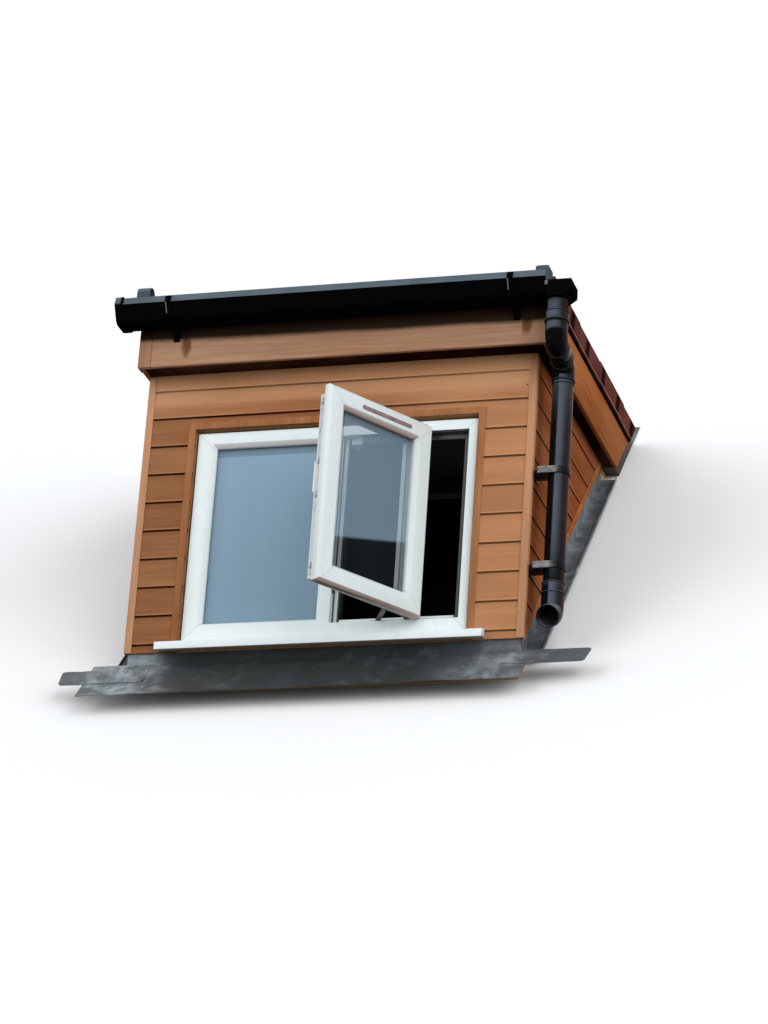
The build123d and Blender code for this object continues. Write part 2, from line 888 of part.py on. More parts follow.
brackets = []
for place in bracket_places:
    span = (place - bracket_width / 2, place + bracket_width / 2)
    foot_low = gutter_bottom - bracket_foot
    gusset = side_shape(
        [
            (fascia_front, gutter_bottom + gutter_heel),
            (fascia_front, foot_low),
            (fascia_front - gutter_gap, foot_low),
            (fascia_front - bracket_foot, gutter_bottom - gutter_gap / 2),
            (fascia_front - bracket_foot, gutter_bottom + gutter_gap),
        ],
        span,
    )
    above = block(
        span,
        (gutter_front - gutter_gap, gutter_back + gutter_gap),
        (gutter_top - bracket_below_lip, gutter_top + gutter_gap),
    )
    with BuildPart() as bracket:
        add(gutter_length(span, gutter_gap).part)
        add(gusset.part)
        add(gutter_length(span, fit_gap).part, mode=Mode.SUBTRACT)
        add(above.part, mode=Mode.SUBTRACT)
    brackets.append(bracket)
keep(joined(*brackets), "gutter_brackets")

slope_run, slope_rise = outlet_slope
slope_start = outlet_right - slope_run
slope_end = outlet_bottom + slope_rise
hopper = front_shape(
    [
        (gutter_right, outlet_bottom),
        (slope_start, outlet_bottom),
        (outlet_right, slope_end),
        (outlet_right, outlet_top),
        (gutter_right, outlet_top),
    ],
    (outlet_front, outlet_back),
)
hopper_inside = front_shape(
    [
        (gutter_right, outlet_bottom + outlet_wall),
        (slope_start, outlet_bottom + outlet_wall),
        (outlet_right - outlet_wall, slope_end + outlet_wall / 2),
        (outlet_right - outlet_wall, outlet_top),
        (gutter_right, outlet_top),
    ],
    (outlet_front + outlet_wall, outlet_back - outlet_wall),
)
under_gutter = block(
    (outlet_x - pipe_radius, gutter_right),
    (outlet_front, outlet_back),
    (outlet_bottom + outlet_wall, slope_end),
)
with BuildPart() as gutter_outlet:
    add(hopper.part)
    with BuildSketch(Plane.XY.offset(spigot_low)):
        with Locations((outlet_x, outlet_y)):
            Circle(pipe_radius)
    extrude(amount=slope_end - spigot_low)
    add(hopper_inside.part, mode=Mode.SUBTRACT)
    add(under_gutter.part, mode=Mode.SUBTRACT)
    with BuildSketch(Plane.XY.offset(spigot_low)):
        with Locations((outlet_x, outlet_y)):
            Circle(pipe_radius - pipe_wall)
    extrude(amount=outlet_top - spigot_low, mode=Mode.SUBTRACT)
keep(gutter_outlet, "gutter_outlet")

# Swan neck: an upper bend under the outlet and a lower bend into the pipe
socket_top = spigot_low + neck_lap
socket_out = socket_across / 2
upper_run = [(outlet_x, outlet_y, spigot_low), upper_elbow, neck_middle]
upper_socket = collar(
    (outlet_x, outlet_y),
    [
        (pipe_radius + fit_gap, spigot_low),
        (socket_out, spigot_low),
        (socket_out, socket_top),
        (pipe_radius + fit_gap, socket_top),
    ],
)
keep(joined(pipe_run(upper_run, bend_radius, bend_radius_out, bend_wall), upper_socket), "upper_bend")
pipe_top = lower_elbow[2] - neck_drop
lower_run = [neck_middle, lower_elbow, (pipe_x, pipe_y, pipe_top)]
keep(pipe_run(lower_run, bend_radius, bend_radius_out, bend_wall), "lower_bend")

pipe_foot = foot + pipe_foot_height
pipe_bore = pipe_radius - pipe_wall
downpipe = collar(
    (pipe_x, pipe_y),
    [
        (pipe_bore, pipe_foot),
        (pipe_radius, pipe_foot),
        (pipe_radius, pipe_top + socket_lap),
        (pipe_bore, pipe_top + socket_lap),
    ],
)
keep(downpipe, "downpipe")

clips = []
plate_wide, plate_high, plate_deep = clip_plate
clip_out = pipe_radius + clip_ring
arm_y = (trim_back + clip_gap, trim_back + clip_gap + clip_arm)
ear_y = (pipe_y - clip_out - clip_face, arm_y[1])
ear_x = (clad_side + clip_ear, pipe_x)
for height in clip_heights:
    low = foot + height - clip_tall / 2
    z_span = (low, low + clip_tall)
    middle_z = foot + height
    with BuildPart() as clip:
        with BuildSketch(Plane.XY.offset(z_span[0])):
            with Locations((pipe_x, pipe_y)):
                Circle(clip_out)
        extrude(amount=clip_tall)
        add(block((clad_side, ear_x[1]), arm_y, z_span).part)
        add(block(ear_x, ear_y, z_span).part)
        add(block((pipe_x, pipe_x + clip_lug), (ear_y[0], pipe_y), z_span).part)
        add(
            block(
                (clad_side, clad_side + plate_deep),
                (arm_y[0], arm_y[0] + plate_wide),
                (middle_z - plate_high / 2, middle_z + plate_high / 2),
            ).part
        )
        with BuildSketch(Plane.XY.offset(z_span[0])):
            with Locations((pipe_x, pipe_y)):
                Circle(pipe_radius + fit_gap)
        extrude(amount=clip_tall, mode=Mode.SUBTRACT)
    clips.append(clip)
keep(joined(*clips), "pipe_clips")

fall = radians(shoe_fall)
shoe_elbow = (pipe_x, pipe_y, pipe_foot - shoe_drop)
shoe_mouth = (pipe_x, pipe_y - shoe_reach, shoe_elbow[2] - shoe_reach * tan(fall))
shoe_run = [(pipe_x, pipe_y, pipe_foot), shoe_elbow, shoe_mouth]
shoe_out = pipe_radius + shoe_skin
shoe_ring = collar(
    (pipe_x, pipe_y),
    [
        (pipe_radius + fit_gap, pipe_foot),
        (shoe_out, pipe_foot),
        (shoe_out, pipe_foot + shoe_socket),
        (pipe_radius + fit_gap, pipe_foot + shoe_socket),
    ],
)
keep(joined(pipe_run(shoe_run, shoe_radius, shoe_out, shoe_wall), shoe_ring), "pipe_shoe")

# Lead apron under the window, its tails, and the channels beside the cheeks
upstand = wall_front - lead_thick
skirt_top = wall_front / cos(pitch)
skirt_left = (face - apron_reach_left) / cos(pitch)
skirt_right = (face - apron_reach_right) / cos(pitch)
with BuildPart() as skirt:
    with BuildSketch(tile_plane):
        with BuildLine():
            Polyline(
                (-half - apron_left_past, skirt_left),
                (half + apron_right_past, skirt_right),
                (half + apron_right_past, skirt_top),
                (-half - apron_left_past, skirt_top),
                close=True,
            )
        make_face()
    extrude(amount=lead_thick)
turned_up = side_shape(
    [
        (wall_front, slope * wall_front + tile_lift),
        (wall_front, foot - fit_gap),
        (upstand, foot - fit_gap),
        (upstand, slope * upstand + tile_lift),
    ],
    (-wall_side, wall_side),
)
keep(joined(skirt, turned_up), "lead_apron")

lap_plane = tile_plane.offset(lead_thick)
tails = ((-1, tail_left, tail_left_fall), (1, tail_right, tail_right_fall))
lead_tails = []
for hand, reach, fall_span in tails:
    near = hand * (half - reach[0])
    far = hand * (half + reach[1])
    top = (face - fall_span[0]) / cos(pitch)
    bottom = (face - fall_span[1]) / cos(pitch)
    with BuildPart() as tail:
        with BuildSketch(lap_plane):
            with BuildLine():
                Polyline(
                    (near, bottom),
                    (far, bottom),
                    (far + hand * tail_slant, top),
                    (near, top),
                    close=True,
                )
            make_face()
        extrude(amount=lead_thick)
    lead_tails.append(tail)
keep(joined(*lead_tails), "lead_tails")

channel_high = tile_rise + closure_rise - fit_gap
channel_start = (wall_front + channel_high * sin(pitch)) / cos(pitch)
channel_end = (soffit_bottom - channel_high * cos(pitch)) / sin(pitch) - lead_thick
channel_plane = Plane(
    origin=rafter_plane.from_local_coords((0, channel_start, 0)),
    x_dir=(1, 0, 0),
    z_dir=(0, -cos(pitch), -sin(pitch)),
)
channel_out = wall_side + channel_width
for side, hand in sides.items():
    points = [
        (wall_side, batten_rise),
        (channel_out, batten_rise),
        (channel_out, batten_rise + channel_welt),
        (channel_out - lead_thick, batten_rise + channel_welt),
        (channel_out - lead_thick, batten_rise + lead_thick),
        (wall_side + lead_thick, batten_rise + lead_thick),
        (wall_side + lead_thick, channel_high),
        (wall_side, channel_high),
    ]
    with BuildPart() as channel:
        with BuildSketch(channel_plane):
            with BuildLine():
                Polyline(*[(hand * x, z) for x, z in points], close=True)
            make_face()
        extrude(amount=channel_start - channel_end)
    keep(channel, f"side_channel_{side}")
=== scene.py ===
"""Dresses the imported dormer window: boards, profiles, glass, rainwater goods and lead."""
import math

import bmesh
import bpy
from bpy.props import FloatProperty, FloatVectorProperty, PointerProperty
from mathutils import Matrix, Vector, noise


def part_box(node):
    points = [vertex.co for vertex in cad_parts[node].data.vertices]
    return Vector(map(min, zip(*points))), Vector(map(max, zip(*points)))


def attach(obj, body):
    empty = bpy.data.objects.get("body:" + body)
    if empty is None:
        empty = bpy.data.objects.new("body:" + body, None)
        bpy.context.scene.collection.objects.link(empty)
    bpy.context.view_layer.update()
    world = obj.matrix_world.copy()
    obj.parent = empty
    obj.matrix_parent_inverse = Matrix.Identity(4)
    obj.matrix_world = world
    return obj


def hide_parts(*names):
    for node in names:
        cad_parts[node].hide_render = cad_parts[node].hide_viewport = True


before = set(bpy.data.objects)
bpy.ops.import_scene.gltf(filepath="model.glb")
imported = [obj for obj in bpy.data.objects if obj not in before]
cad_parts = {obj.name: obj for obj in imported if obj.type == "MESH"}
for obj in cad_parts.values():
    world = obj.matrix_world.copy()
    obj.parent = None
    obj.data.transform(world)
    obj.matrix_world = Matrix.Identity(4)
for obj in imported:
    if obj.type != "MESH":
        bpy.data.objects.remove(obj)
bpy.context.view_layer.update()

bl_info = {
    "name": "Dormer window",
    "version": (1, 0, 0),
    "blender": (4, 5, 0),
    "location": "3D View > Sidebar > Dormer",
    "description": "Dresses the packed dormer window with boards, profiles, lead and rainwater goods",
    "category": "Object",
}

SIDES = ("left", "right")

# The roof: its pitch, the thickness of the sole plates on it, how far above them the cheek boards
# are cut, the level of the plates' top at y = 0 and the direction square into the roof
ROOF_PITCH = math.radians(47.7)
SLOPE = math.tan(ROOF_PITCH)
PLATE_THICK = 0.065
CHEEK_GAP = 0.020
TILE_LIFT = PLATE_THICK / math.cos(ROOF_PITCH)
INTO_ROOF = (0, math.sin(ROOF_PITCH), -math.cos(ROOF_PITCH))

# The window: places of the opening light in its frame, and levels inside the sash
LIGHT_LEFT = 0.498
LIGHT_RIGHT = 0.029
LIGHT_FOOT = 0.044
LIGHT_HEAD = 0.035
REBATE = 0.030
OPEN_ANGLE = math.radians(58.0)
SASH_DEPTH = 0.068
SASH_WIDTH = 0.442
SASH_SIGHT = 0.069
SASH_GLASS = (0.024, 0.048)
GLASS_COVER = 0.008

# Rainwater goods, as x and y, or as x alone
PIPE = (0.747, -0.020)
OUTLET = (0.760, -0.191)
BRACKETS = (-0.551, 0.613)
PIPE_RADIUS = 0.034
SOCKET_RADIUS = 0.0365
SPIGOT_RADIUS = 0.0385
SOCKET_LENGTH = 0.036

# How far plastic turns right, and how far down, where its painted sheen on the front and left starts
PIPE_WEATHER = (-0.48, -0.20)
BEND_WEATHER = (-0.95, -0.20)
OUTLET_WEATHER = (-0.95, -0.80)

# Places where the lead is bossed up: x, y, half width, half depth, rise
LEAD_LUMPS = (
    (-0.668, -0.062, 0.050, 0.030, 0.012),
    (-0.560, -0.078, 0.120, 0.012, 0.004),
    (0.545, -0.070, 0.030, 0.040, 0.010),
    (0.640, -0.064, 0.060, 0.030, 0.011),
    (0.470, -0.085, 0.012, 0.050, 0.006),
)

# The camera: its place, its yaw, pitch and roll in degrees, and its lens and sensor in millimetres
CAMERA_PLACE = (3.51119, -10.56115, -4.01362)
CAMERA_TURN = (17.58, 22.46, 3.97)
CAMERA_LENS = 130.346
CAMERA_SENSOR = 36.0

# The lamps: name, direction of the light, strength, and spread in degrees
LAMPS = (
    ("front_left", (0.68, 0.68, -0.27), 1.28, 60),
    ("front_right", (-0.74, 0.62, -0.27), 1.88, 60),
    ("rear", (0.1, -0.98, -0.15), 0.8, 40),
)
LAMP_DISTANCE = 6
FLOOR_REACH = 90.0


def linear(code):
    """An sRGB colour of six hex digits, in the linear values that materials use."""
    parts = [int(code[i:i + 2], 16) / 255 for i in (0, 2, 4)]
    return tuple(p / 12.92 if p <= 0.04045 else ((p + 0.055) / 1.055) ** 2.4 for p in parts)


def shaded(tone, share):
    """A colour made darker by a share below 1, or brighter by one above it."""
    return [min(1.0, c * share) for c in tone]


def colour(name, description, code):
    """A colour setting with its default."""
    return FloatVectorProperty(
        name=name, description=description, default=linear(code), subtype="COLOR", min=0, max=1
    )


def length(name, description, default):
    """A length setting in metres with its default."""
    return FloatProperty(
        name=name, description=description, default=default, unit="LENGTH", min=0.0001, precision=4
    )


class DormerSizes(bpy.types.PropertyGroup):
    """Sizes of the details that the dressing adds."""

    board_pitch: length("Board pitch", "Cover of one cladding board", 0.1)
    first_groove: length("First groove", "Lowest groove above the foot of the cladding", 0.023)
    groove_height: length("Groove height", "Height of the joint between two boards", 0.0082)
    groove_depth: length("Groove depth", "Depth of the joint between two boards", 0.0055)
    trim_round: length("Trim rounding", "Rounding on the edges of the foiled trims", 0.0018)
    fascia_round: length("Fascia rounding", "Rounding on the edges of the fascia boards", 0.003)
    profile_round: length("Profile rounding", "Rounding on the edges of the window profiles", 0.0014)
    timber_round: length("Timber rounding", "Eased edges of the timbers", 0.0015)
    gasket_width: length("Gasket width", "Width of the glazing gasket that shows", 0.0045)
    skirt_length: length("Skirt length", "Length of one folded skirt of the kerbs", 0.33)
    skirt_step: length("Skirt step", "Height of the laps along the kerb skirts", 0.0018)
    lead_ripple: length("Lead ripple", "Height of the waves dressed into the lead", 0.0026)
    bead_size: length("Bead size", "Radius of the beads round the pipe sockets", 0.0022)


class DormerColours(bpy.types.PropertyGroup):
    """Colours of the dormer's materials."""

    oak_light: colour("Oak, light", "Light grain of the golden foil", "B67F56")
    oak_dark: colour("Oak, dark", "Dark grain of the golden foil", "8D5937")
    # The cheeks' copy of the oak foil is darker and redder: painted shade and a painted red
    # reflection from the roof
    cheek_light: colour("Cheek, light", "Light grain of the cheeks, which are redder", "A2603B")
    cheek_dark: colour("Cheek, dark", "Dark grain of the cheeks", "7A4125")
    rake_light: colour("Rake, light", "Light grain of the sloping fascias", "C27846")
    rake_dark: colour("Rake, dark", "Dark grain of the sloping fascias", "854A29")
    # The soffit's copy of the oak foil is nearly black: painted shade
    under_light: colour("Soffit, light", "Light grain of the shaded soffit", "32180E")
    under_dark: colour("Soffit, dark", "Dark grain of the shaded soffit", "1A0A06")
    trim_light: colour("Trim, light", "Light grain of the corner trims", "D0A27E")
    trim_dark: colour("Trim, dark", "Dark grain of the corner trims", "B07E5C")
    fascia_light: colour("Fascia, light", "Light grain of the front fascia", "C39C7E")
    fascia_dark: colour("Fascia, dark", "Dark grain of the front fascia", "9C7158")
    oak_joint: colour("Oak joint", "Inside of the joints between boards", "35130A")
    white: colour("White profile", "The window profiles and the sill", "E2EBEB")
    # The open casement's white is a darker copy of the profile white: painted shade
    white_sash: colour("White sash", "The open casement", "D8E0E0")
    black: colour("Black plastic", "Gutter, pipe and caps", "08090A")
    # Dust sheen is dust plus a painted sky reflection on what faces the sky; pipe sheen is a painted
    # sheen on the pipes' front and left
    bloom: colour("Dust bloom", "Dust on what faces the sky", "5C666E")
    pipe_bloom: colour("Pipe bloom", "Dust on the weather side of the pipes", "545962")
    skirt: colour("Kerb skirt", "The folded skirts of the kerbs", "6A3D35")
    lead: colour("Lead", "Weathered sheet lead", "565C60")
    lead_bright: colour("Lead, bright", "Freshly dressed lead", "9AA3A8")
    # The panes' colours are painted reflections of a grey sky
    glass_fixed: colour("Fixed pane", "The fixed light's glass", "8AA5B7")
    glass_open: colour("Casement pane", "The open casement's glass", "8EA8B8")
    gasket: colour("Gasket", "Glazing gaskets and seals", "0E0F10")
    steel: colour("Steel", "Stays, lock strip and screws", "A3A6A8")
    timber: colour("Timber", "Sawn softwood", "C79F6D")
    ply: colour("Sheathing", "Boards of the walls and the roof", "B98F5F")
    # The lining's dark tone is painted shade for the unlit room
    lining: colour("Lining", "Dark sheet that lines the room", "2B2A28")
    membrane: colour("Membrane", "Sheet over the flat roof", "3A3C3E")


class Value:
    """A socket of a material, so that maths on it reads as maths."""

    def __init__(self, recipe, socket):
        self.recipe = recipe
        self.socket = socket

    def _math(self, operation, first, second):
        return self.recipe.add("ShaderNodeMath", {"operation": operation}, {0: first, 1: second})

    def __add__(self, other):
        return self._math("ADD", self, other)

    def __sub__(self, other):
        return self._math("SUBTRACT", self, other)

    def __rsub__(self, other):
        return self._math("SUBTRACT", other, self)

    def __mul__(self, other):
        return self._math("MULTIPLY", self, other)

    def __truediv__(self, other):
        return self._math("DIVIDE", self, other)

    def __gt__(self, other):
        return self._math("GREATER_THAN", self, other)

    def __lt__(self, other):
        return self._math("LESS_THAN", self, other)

    def floor(self):
        return self._math("FLOOR", self, 0.0)

    def part(self):
        return self._math("FRACT", self, 0.0)

    def size(self):
        return self._math("ABSOLUTE", self, 0.0)

    def atleast(self, other):
        return self._math("MAXIMUM", self, other)


class Recipe:
    """Builds one material from nodes."""

    def __init__(self, name):
        self.material = bpy.data.materials.new(name)
        self.material.use_nodes = True
        self.tree = self.material.node_tree
        self.tree.nodes.clear()

    def add(self, kind, settings, inputs, output=0):
        """Adds a node: its settings first, then the values or links of its sockets."""
        node = self.tree.nodes.new(kind)
        for name, value in settings.items():
            setattr(node, name, value)
        for name, value in inputs.items():
            if isinstance(value, Value):
                self.tree.links.new(value.socket, node.inputs[name])
            else:
                node.inputs[name].default_value = value
        return Value(self, node.outputs[output]) if node.outputs else None

    def place(self):
        """The point on the piece, in metres, as its x, y and z."""
        point = self.add("ShaderNodeTexCoord", {}, {}, "Object")
        return [self.add("ShaderNodeSeparateXYZ", {}, {0: point}, i) for i in range(3)]

    def facing(self, direction=(0.0, 0.0, 1.0)):
        """How far the surface faces a direction, the sky if none is given, from -1 to 1."""
        normal = self.add("ShaderNodeNewGeometry", {}, {}, "Normal")
        settings = {"operation": "DOT_PRODUCT"}
        return self.add("ShaderNodeVectorMath", settings, {0: normal, 1: direction}, "Value")

    def vector(self, x, y, z):
        """A vector from three values."""
        return self.add("ShaderNodeCombineXYZ", {}, {0: x, 1: y, 2: z})

    def haze(self, x, y, z, detail, roughness=0.55, distortion=0.0):
        """Soft noise from 0 to 1 at a place that is scaled already."""
        inputs = {"Vector": self.vector(x, y, z), "Scale": 1.0, "Detail": detail}
        inputs.update({"Roughness": roughness, "Distortion": distortion})
        return self.add("ShaderNodeTexNoise", {}, inputs)

    def cloud(self, point, fineness, detail, roughness=0.55, distortion=0.0):
        """Soft noise from 0 to 1, with one fineness or one for each direction of the point."""
        if not isinstance(fineness, tuple):
            fineness = (fineness,) * 3
        scaled = [value * share for value, share in zip(point, fineness)]
        return self.haze(*scaled, detail, roughness, distortion)

    def chance(self, value):
        """One random number for each whole value."""
        return self.add("ShaderNodeTexWhiteNoise", {"noise_dimensions": "1D"}, {"W": value})

    def ease(self, value, low, high, start=0.0, end=1.0):
        """Maps a value smoothly from one range to another, held at both ends."""
        settings = {"interpolation_type": "SMOOTHSTEP", "clamp": True}
        inputs = {0: value, 1: low, 2: high, 3: start, 4: end}
        return self.add("ShaderNodeMapRange", settings, inputs)

    def blend(self, factor, first, second):
        """Mixes two colours."""
        first, second = (c if isinstance(c, Value) else (*c[:3], 1.0) for c in (first, second))
        settings = {"data_type": "RGBA", "blend_type": "MIX", "clamp_factor": True}
        return self.add("ShaderNodeMix", settings, {0: factor, 6: first, 7: second}, 2)

    def wash(self, base, factor, tone):
        """Lays a tone, given as a colour or as hex digits, over a base."""
        return self.blend(factor, base, linear(tone) if isinstance(tone, str) else tone)

    def relief(self, height, strength, distance, under=None):
        """A bump from a height, over another bump if one is given."""
        inputs = {"Height": height, "Strength": strength, "Distance": distance}
        if under is not None:
            inputs["Normal"] = under
        return self.add("ShaderNodeBump", {}, inputs)

    def finish(self, base, roughness, **others):
        """Closes the recipe with its surface shader and returns the material."""
        inputs = {"Base Color": base if isinstance(base, Value) else (*base[:3], 1.0)}
        inputs["Roughness"] = roughness
        inputs.update({name.replace("_", " ").title(): value for name, value in others.items()})
        inputs = {name.replace("Ior", "IOR"): value for name, value in inputs.items()}
        surface = self.add("ShaderNodeBsdfPrincipled", {}, inputs)
        self.add("ShaderNodeOutputMaterial", {}, {"Surface": surface})
        return self.material


SHELF = {}


def stock(name, make, *choices, **options):
    """A material from the shelf, made the first time it is asked for."""
    if name not in SHELF:
        SHELF[name] = make(Recipe(name), bpy.context.scene.dormer_colours, *choices, **options)
    return SHELF[name]


def along(recipe, axis):
    """The distance along the grain and the two distances across it."""
    x, y, z = recipe.place()
    return {"x": (x, y, z), "y": (y, x, z), "z": (z, x, y)}[axis]


def oak_colour(recipe, light, dark, axis, board):
    """Streaked grain along an axis, with a shift of tone from board to board."""
    way, side, up = along(recipe, axis)
    shift = recipe.chance(board) if isinstance(board, Value) else board
    drift = shift * 17.0
    streak = recipe.haze(way * 3.0 + drift, side * 60.0, up * 85.0, 5.0, 0.62, 0.4)
    fine = recipe.haze(way * 16.0, side * 330.0, up * 460.0 + drift, 3.0, 0.6)
    broad = recipe.haze(way * 1.4 + drift, side * 6.0, up * 8.0, 2.0)
    grain = recipe.ease(streak * 0.42 + fine * 0.22 + broad * 0.42 + shift * 0.10, 0.40, 0.86)
    tone = recipe.blend(grain, dark, light)
    fleck = recipe.haze(way * 10.0 + drift, side * 60.0, up * 70.0, 1.0)
    marks = recipe.ease(fleck, 0.76, 0.82) * 0.40
    return recipe.blend(marks, tone, shaded(dark, 0.35)), grain, fine


def jointed_oak(recipe, tones, z, light, dark, axis, joints):
    """Stacked boards, each with its own tone, with dark joints and a painted shade and highlight."""
    first, pitch, height = joints
    level = (z - first) / pitch
    base, grain, fine = oak_colour(recipe, light, dark, axis, level.floor())
    within = level.part() * pitch
    base = recipe.wash(base, within < height, tones.oak_joint)
    # painted shade on each board just below the joint above it
    above = recipe.ease(within, pitch * 0.80, pitch, 0.0, 0.30)
    base = recipe.wash(base, above, shaded(dark, 0.45))
    # painted highlight on each board just above its joint
    edge = recipe.ease(within, height, height * 2.0, 0.55, 0.0) * (within > height)
    return recipe.wash(base, edge, shaded(light, 1.35)), grain, fine


def stained(recipe, base, point, stain):
    """A ragged brown stain below a gutter bracket, placed by its x and z."""
    wide = (point[0] - stain[0]) / 0.022
    tall = (point[2] - stain[1]) / 0.046
    ragged = recipe.cloud(point, (40.0, 40.0, 22.0), 4.0)
    far = wide * wide + tall * tall + (ragged - 0.5) * 1.2
    return recipe.wash(base, recipe.ease(far, 0.1, 1.0, 0.85, 0.0), "643415")


def sooted(recipe, base, point, shade):
    """A painted shade band under the gutter from a lowest to a highest level, falling a little."""
    low, high, depth = shade
    soot = recipe.cloud(point, 5.0, 3.0)
    lean = (point[0] - 0.6) * 0.0125
    band = recipe.ease(point[2] + lean + (soot - 0.5) * 0.012, low, high, 0.0, depth)
    return recipe.wash(base, band, "0D0805")


def bleached(recipe, base, point, bleach):
    """Painted light on top boards and to the right; painted shade below them and by the window."""
    x, _, z = point
    low, high, depth = bleach
    # painted light on the top boards, stronger towards the ends
    ends = recipe.ease(x.size(), 0.36, 0.60, 0.40, depth)
    base = recipe.wash(base, recipe.ease(z, low, high) * ends, "D2A078")
    # painted shade in a band below the top boards, strongest in the middle
    under = recipe.ease(z, low - 0.12, low - 0.08)
    band = under * recipe.ease(z, low + 0.025, low + 0.045, 1.0, 0.0)
    middle = recipe.ease(x.size(), 0.10, 0.50, 0.34, 0.06) * band
    base = recipe.wash(base, middle, "5E2C18")
    # painted light towards the right, painted shade low on the left
    base = recipe.wash(base, recipe.ease(x, -0.05, 0.45, 0.0, 0.26), "D8A074")
    lower = recipe.ease(z, 0.84, 0.98, 1.0, 0.0)
    base = recipe.wash(base, recipe.ease(x, -0.60, 0.00, 0.30, 0.0) * lower, "4A2A18")
    # a small dark fleck on one board
    side, up = x - 0.636, z - 0.967
    fleck = recipe.ease(side * side + up * up, 0.000004, 0.00002, 0.8, 0.0)
    return recipe.wash(base, fleck, "241008")


def oak(
    recipe, tones, axis, wood="oak", joints=None, stains=(), shade=None, bleach=None,
    gloss=0.08, under=0.0,
):
    """Foiled boards with their grain along an axis.

    Joints give the first joint's level, the boards' cover and the joints' height. Shade and
    bleach give the lowest level, the highest and the depth of a painted shade band under the
    gutter and of the boards' painted light and shade. Under is how dark the faces are that look
    down, as painted shade.
    """
    point = recipe.place()
    light, dark = getattr(tones, f"{wood}_light"), getattr(tones, f"{wood}_dark")
    if joints:
        base, grain, fine = jointed_oak(recipe, tones, point[2], light, dark, axis, joints)
    else:
        base, grain, fine = oak_colour(recipe, light, dark, axis, 0.37)
    haze = recipe.cloud(point, 3.0, 3.0)
    base = recipe.wash(base, recipe.ease(haze, 0.45, 0.75, 0.0, 0.14), "B98E6E")
    for stain in stains:
        base = stained(recipe, base, point, stain)
    if shade:
        base = sooted(recipe, base, point, shade)
    if bleach:
        base = bleached(recipe, base, point, bleach)
    # painted shade on the faces that look down
    if under:
        base = recipe.wash(base, recipe.ease(recipe.facing(), -0.9, -0.3, under, 0.0), "140805")
    rough = recipe.ease(fine, 0.2, 0.8, 0.34, 0.50)
    bump = recipe.relief(fine * 0.6 + grain * 0.4, 0.22, 0.0003)
    return recipe.finish(base, rough, normal=bump, specular_ior_level=gloss)


def inside(point, near, far):
    """1 where each value of a point lies between two corners, and 0 elsewhere."""
    limits = zip(point, near, far)
    tests = [test for value, low, high in limits for test in (value > low, value < high)]
    return math.prod(tests[1:], start=tests[0])


def weld_lines(recipe, corners, turn, origin):
    """Fine mitred welds at the corners of a frame, 1 on a weld and 0 beside it.

    Each corner is (across, up, inward across, inward up), with across measured from the origin.
    """
    x, y, z = recipe.place()
    across = (x - origin[0]) * math.cos(turn) + (y - origin[1]) * math.sin(turn)
    lines = None
    for corner_x, corner_z, step_x, step_z in corners:
        inward = (across - corner_x) * step_x
        climb = (z - corner_z) * step_z
        near = recipe.ease((inward - climb).size(), 0.0006, 0.0018, 1.0, 0.0) * (inward < 0.085)
        near = near * (inward > -0.001)
        lines = near if lines is None else lines.atleast(near)
    return lines


def white_profile(
    recipe, tones, welds, turn, origin=(0.0, 0.0), hollows=(), under=("BFB0A8", 0.6)
):
    """Smooth white window profile with a little grime and its mitred welds.

    Turn and origin place the welds of a turned sash. Shaded hollows are boxes, as two corners each,
    in which the profile is dark, as painted shade and black seals. Under is the tone and the depth
    of the painted shade, tinted as painted reflected light, on the faces that look down.
    """
    point = recipe.place()
    grime = recipe.cloud(point, (5.0, 5.0, 2.0), 5.0, 0.65)
    streak = recipe.cloud(point, (60.0, 60.0, 3.0), 3.0)
    tint, depth = under
    # painted shade, tinted as painted reflected light, on the faces that look down
    down = recipe.ease(recipe.facing(), -0.75, -0.2, depth, 0.0)
    dirt = recipe.ease(grime * 0.7 + streak * 0.3, 0.50, 0.74, 0.0, 0.16)
    # the open casement takes the darker copy of the white, as painted shade
    white = tones.white if origin == (0.0, 0.0) else tones.white_sash
    base = recipe.blend(dirt, white, linear("B9BDBB"))
    base = recipe.wash(base, down, linear(tint))
    # painted shade in the hollows, partly standing in for black seals
    for near, far in hollows:
        base = recipe.wash(base, inside(point, near, far) * 0.96, "141210")
    rough = recipe.ease(grime, 0.3, 0.7, 0.20, 0.32)
    ripple = recipe.cloud(point, 9.0, 2.0)
    bump = recipe.relief(ripple, 0.06, 0.002)
    if welds:
        weld = weld_lines(recipe, welds, turn, origin)
        base = recipe.wash(base, weld * 0.45, "8B9396")
        bump = recipe.relief(1.0 - weld, 0.6, 0.0005, bump)
    return recipe.finish(base, rough, normal=bump, coat_weight=0.25, coat_roughness=0.12)


def weathered(recipe, tones, base, dust, weather):
    """Painted grey sheen on the plastic's front and left, painted brown reflection on its right."""
    left, lowest = weather
    across = recipe.facing((0.968, 0.250, 0.0))
    ahead = recipe.ease(recipe.facing((0.250, -0.968, 0.0)), -0.1, 0.2)
    level = recipe.ease(recipe.facing(), lowest, lowest + 0.12)
    strip = recipe.ease(across, left, left + 0.14) * recipe.ease(across, -0.30, 0.60, 1.0, 0.12)
    worn = recipe.ease(dust, 0.25, 0.70, 0.85, 1.0)
    base = recipe.wash(base, strip * ahead * level * worn, tones.pipe_bloom)
    # painted red-brown reflection of the roof on what faces right
    side = recipe.ease(recipe.facing((1.0, 0.0, 0.0)), 0.60, 0.98, 0.0, 0.70)
    return recipe.wash(base, side, "3A2220")


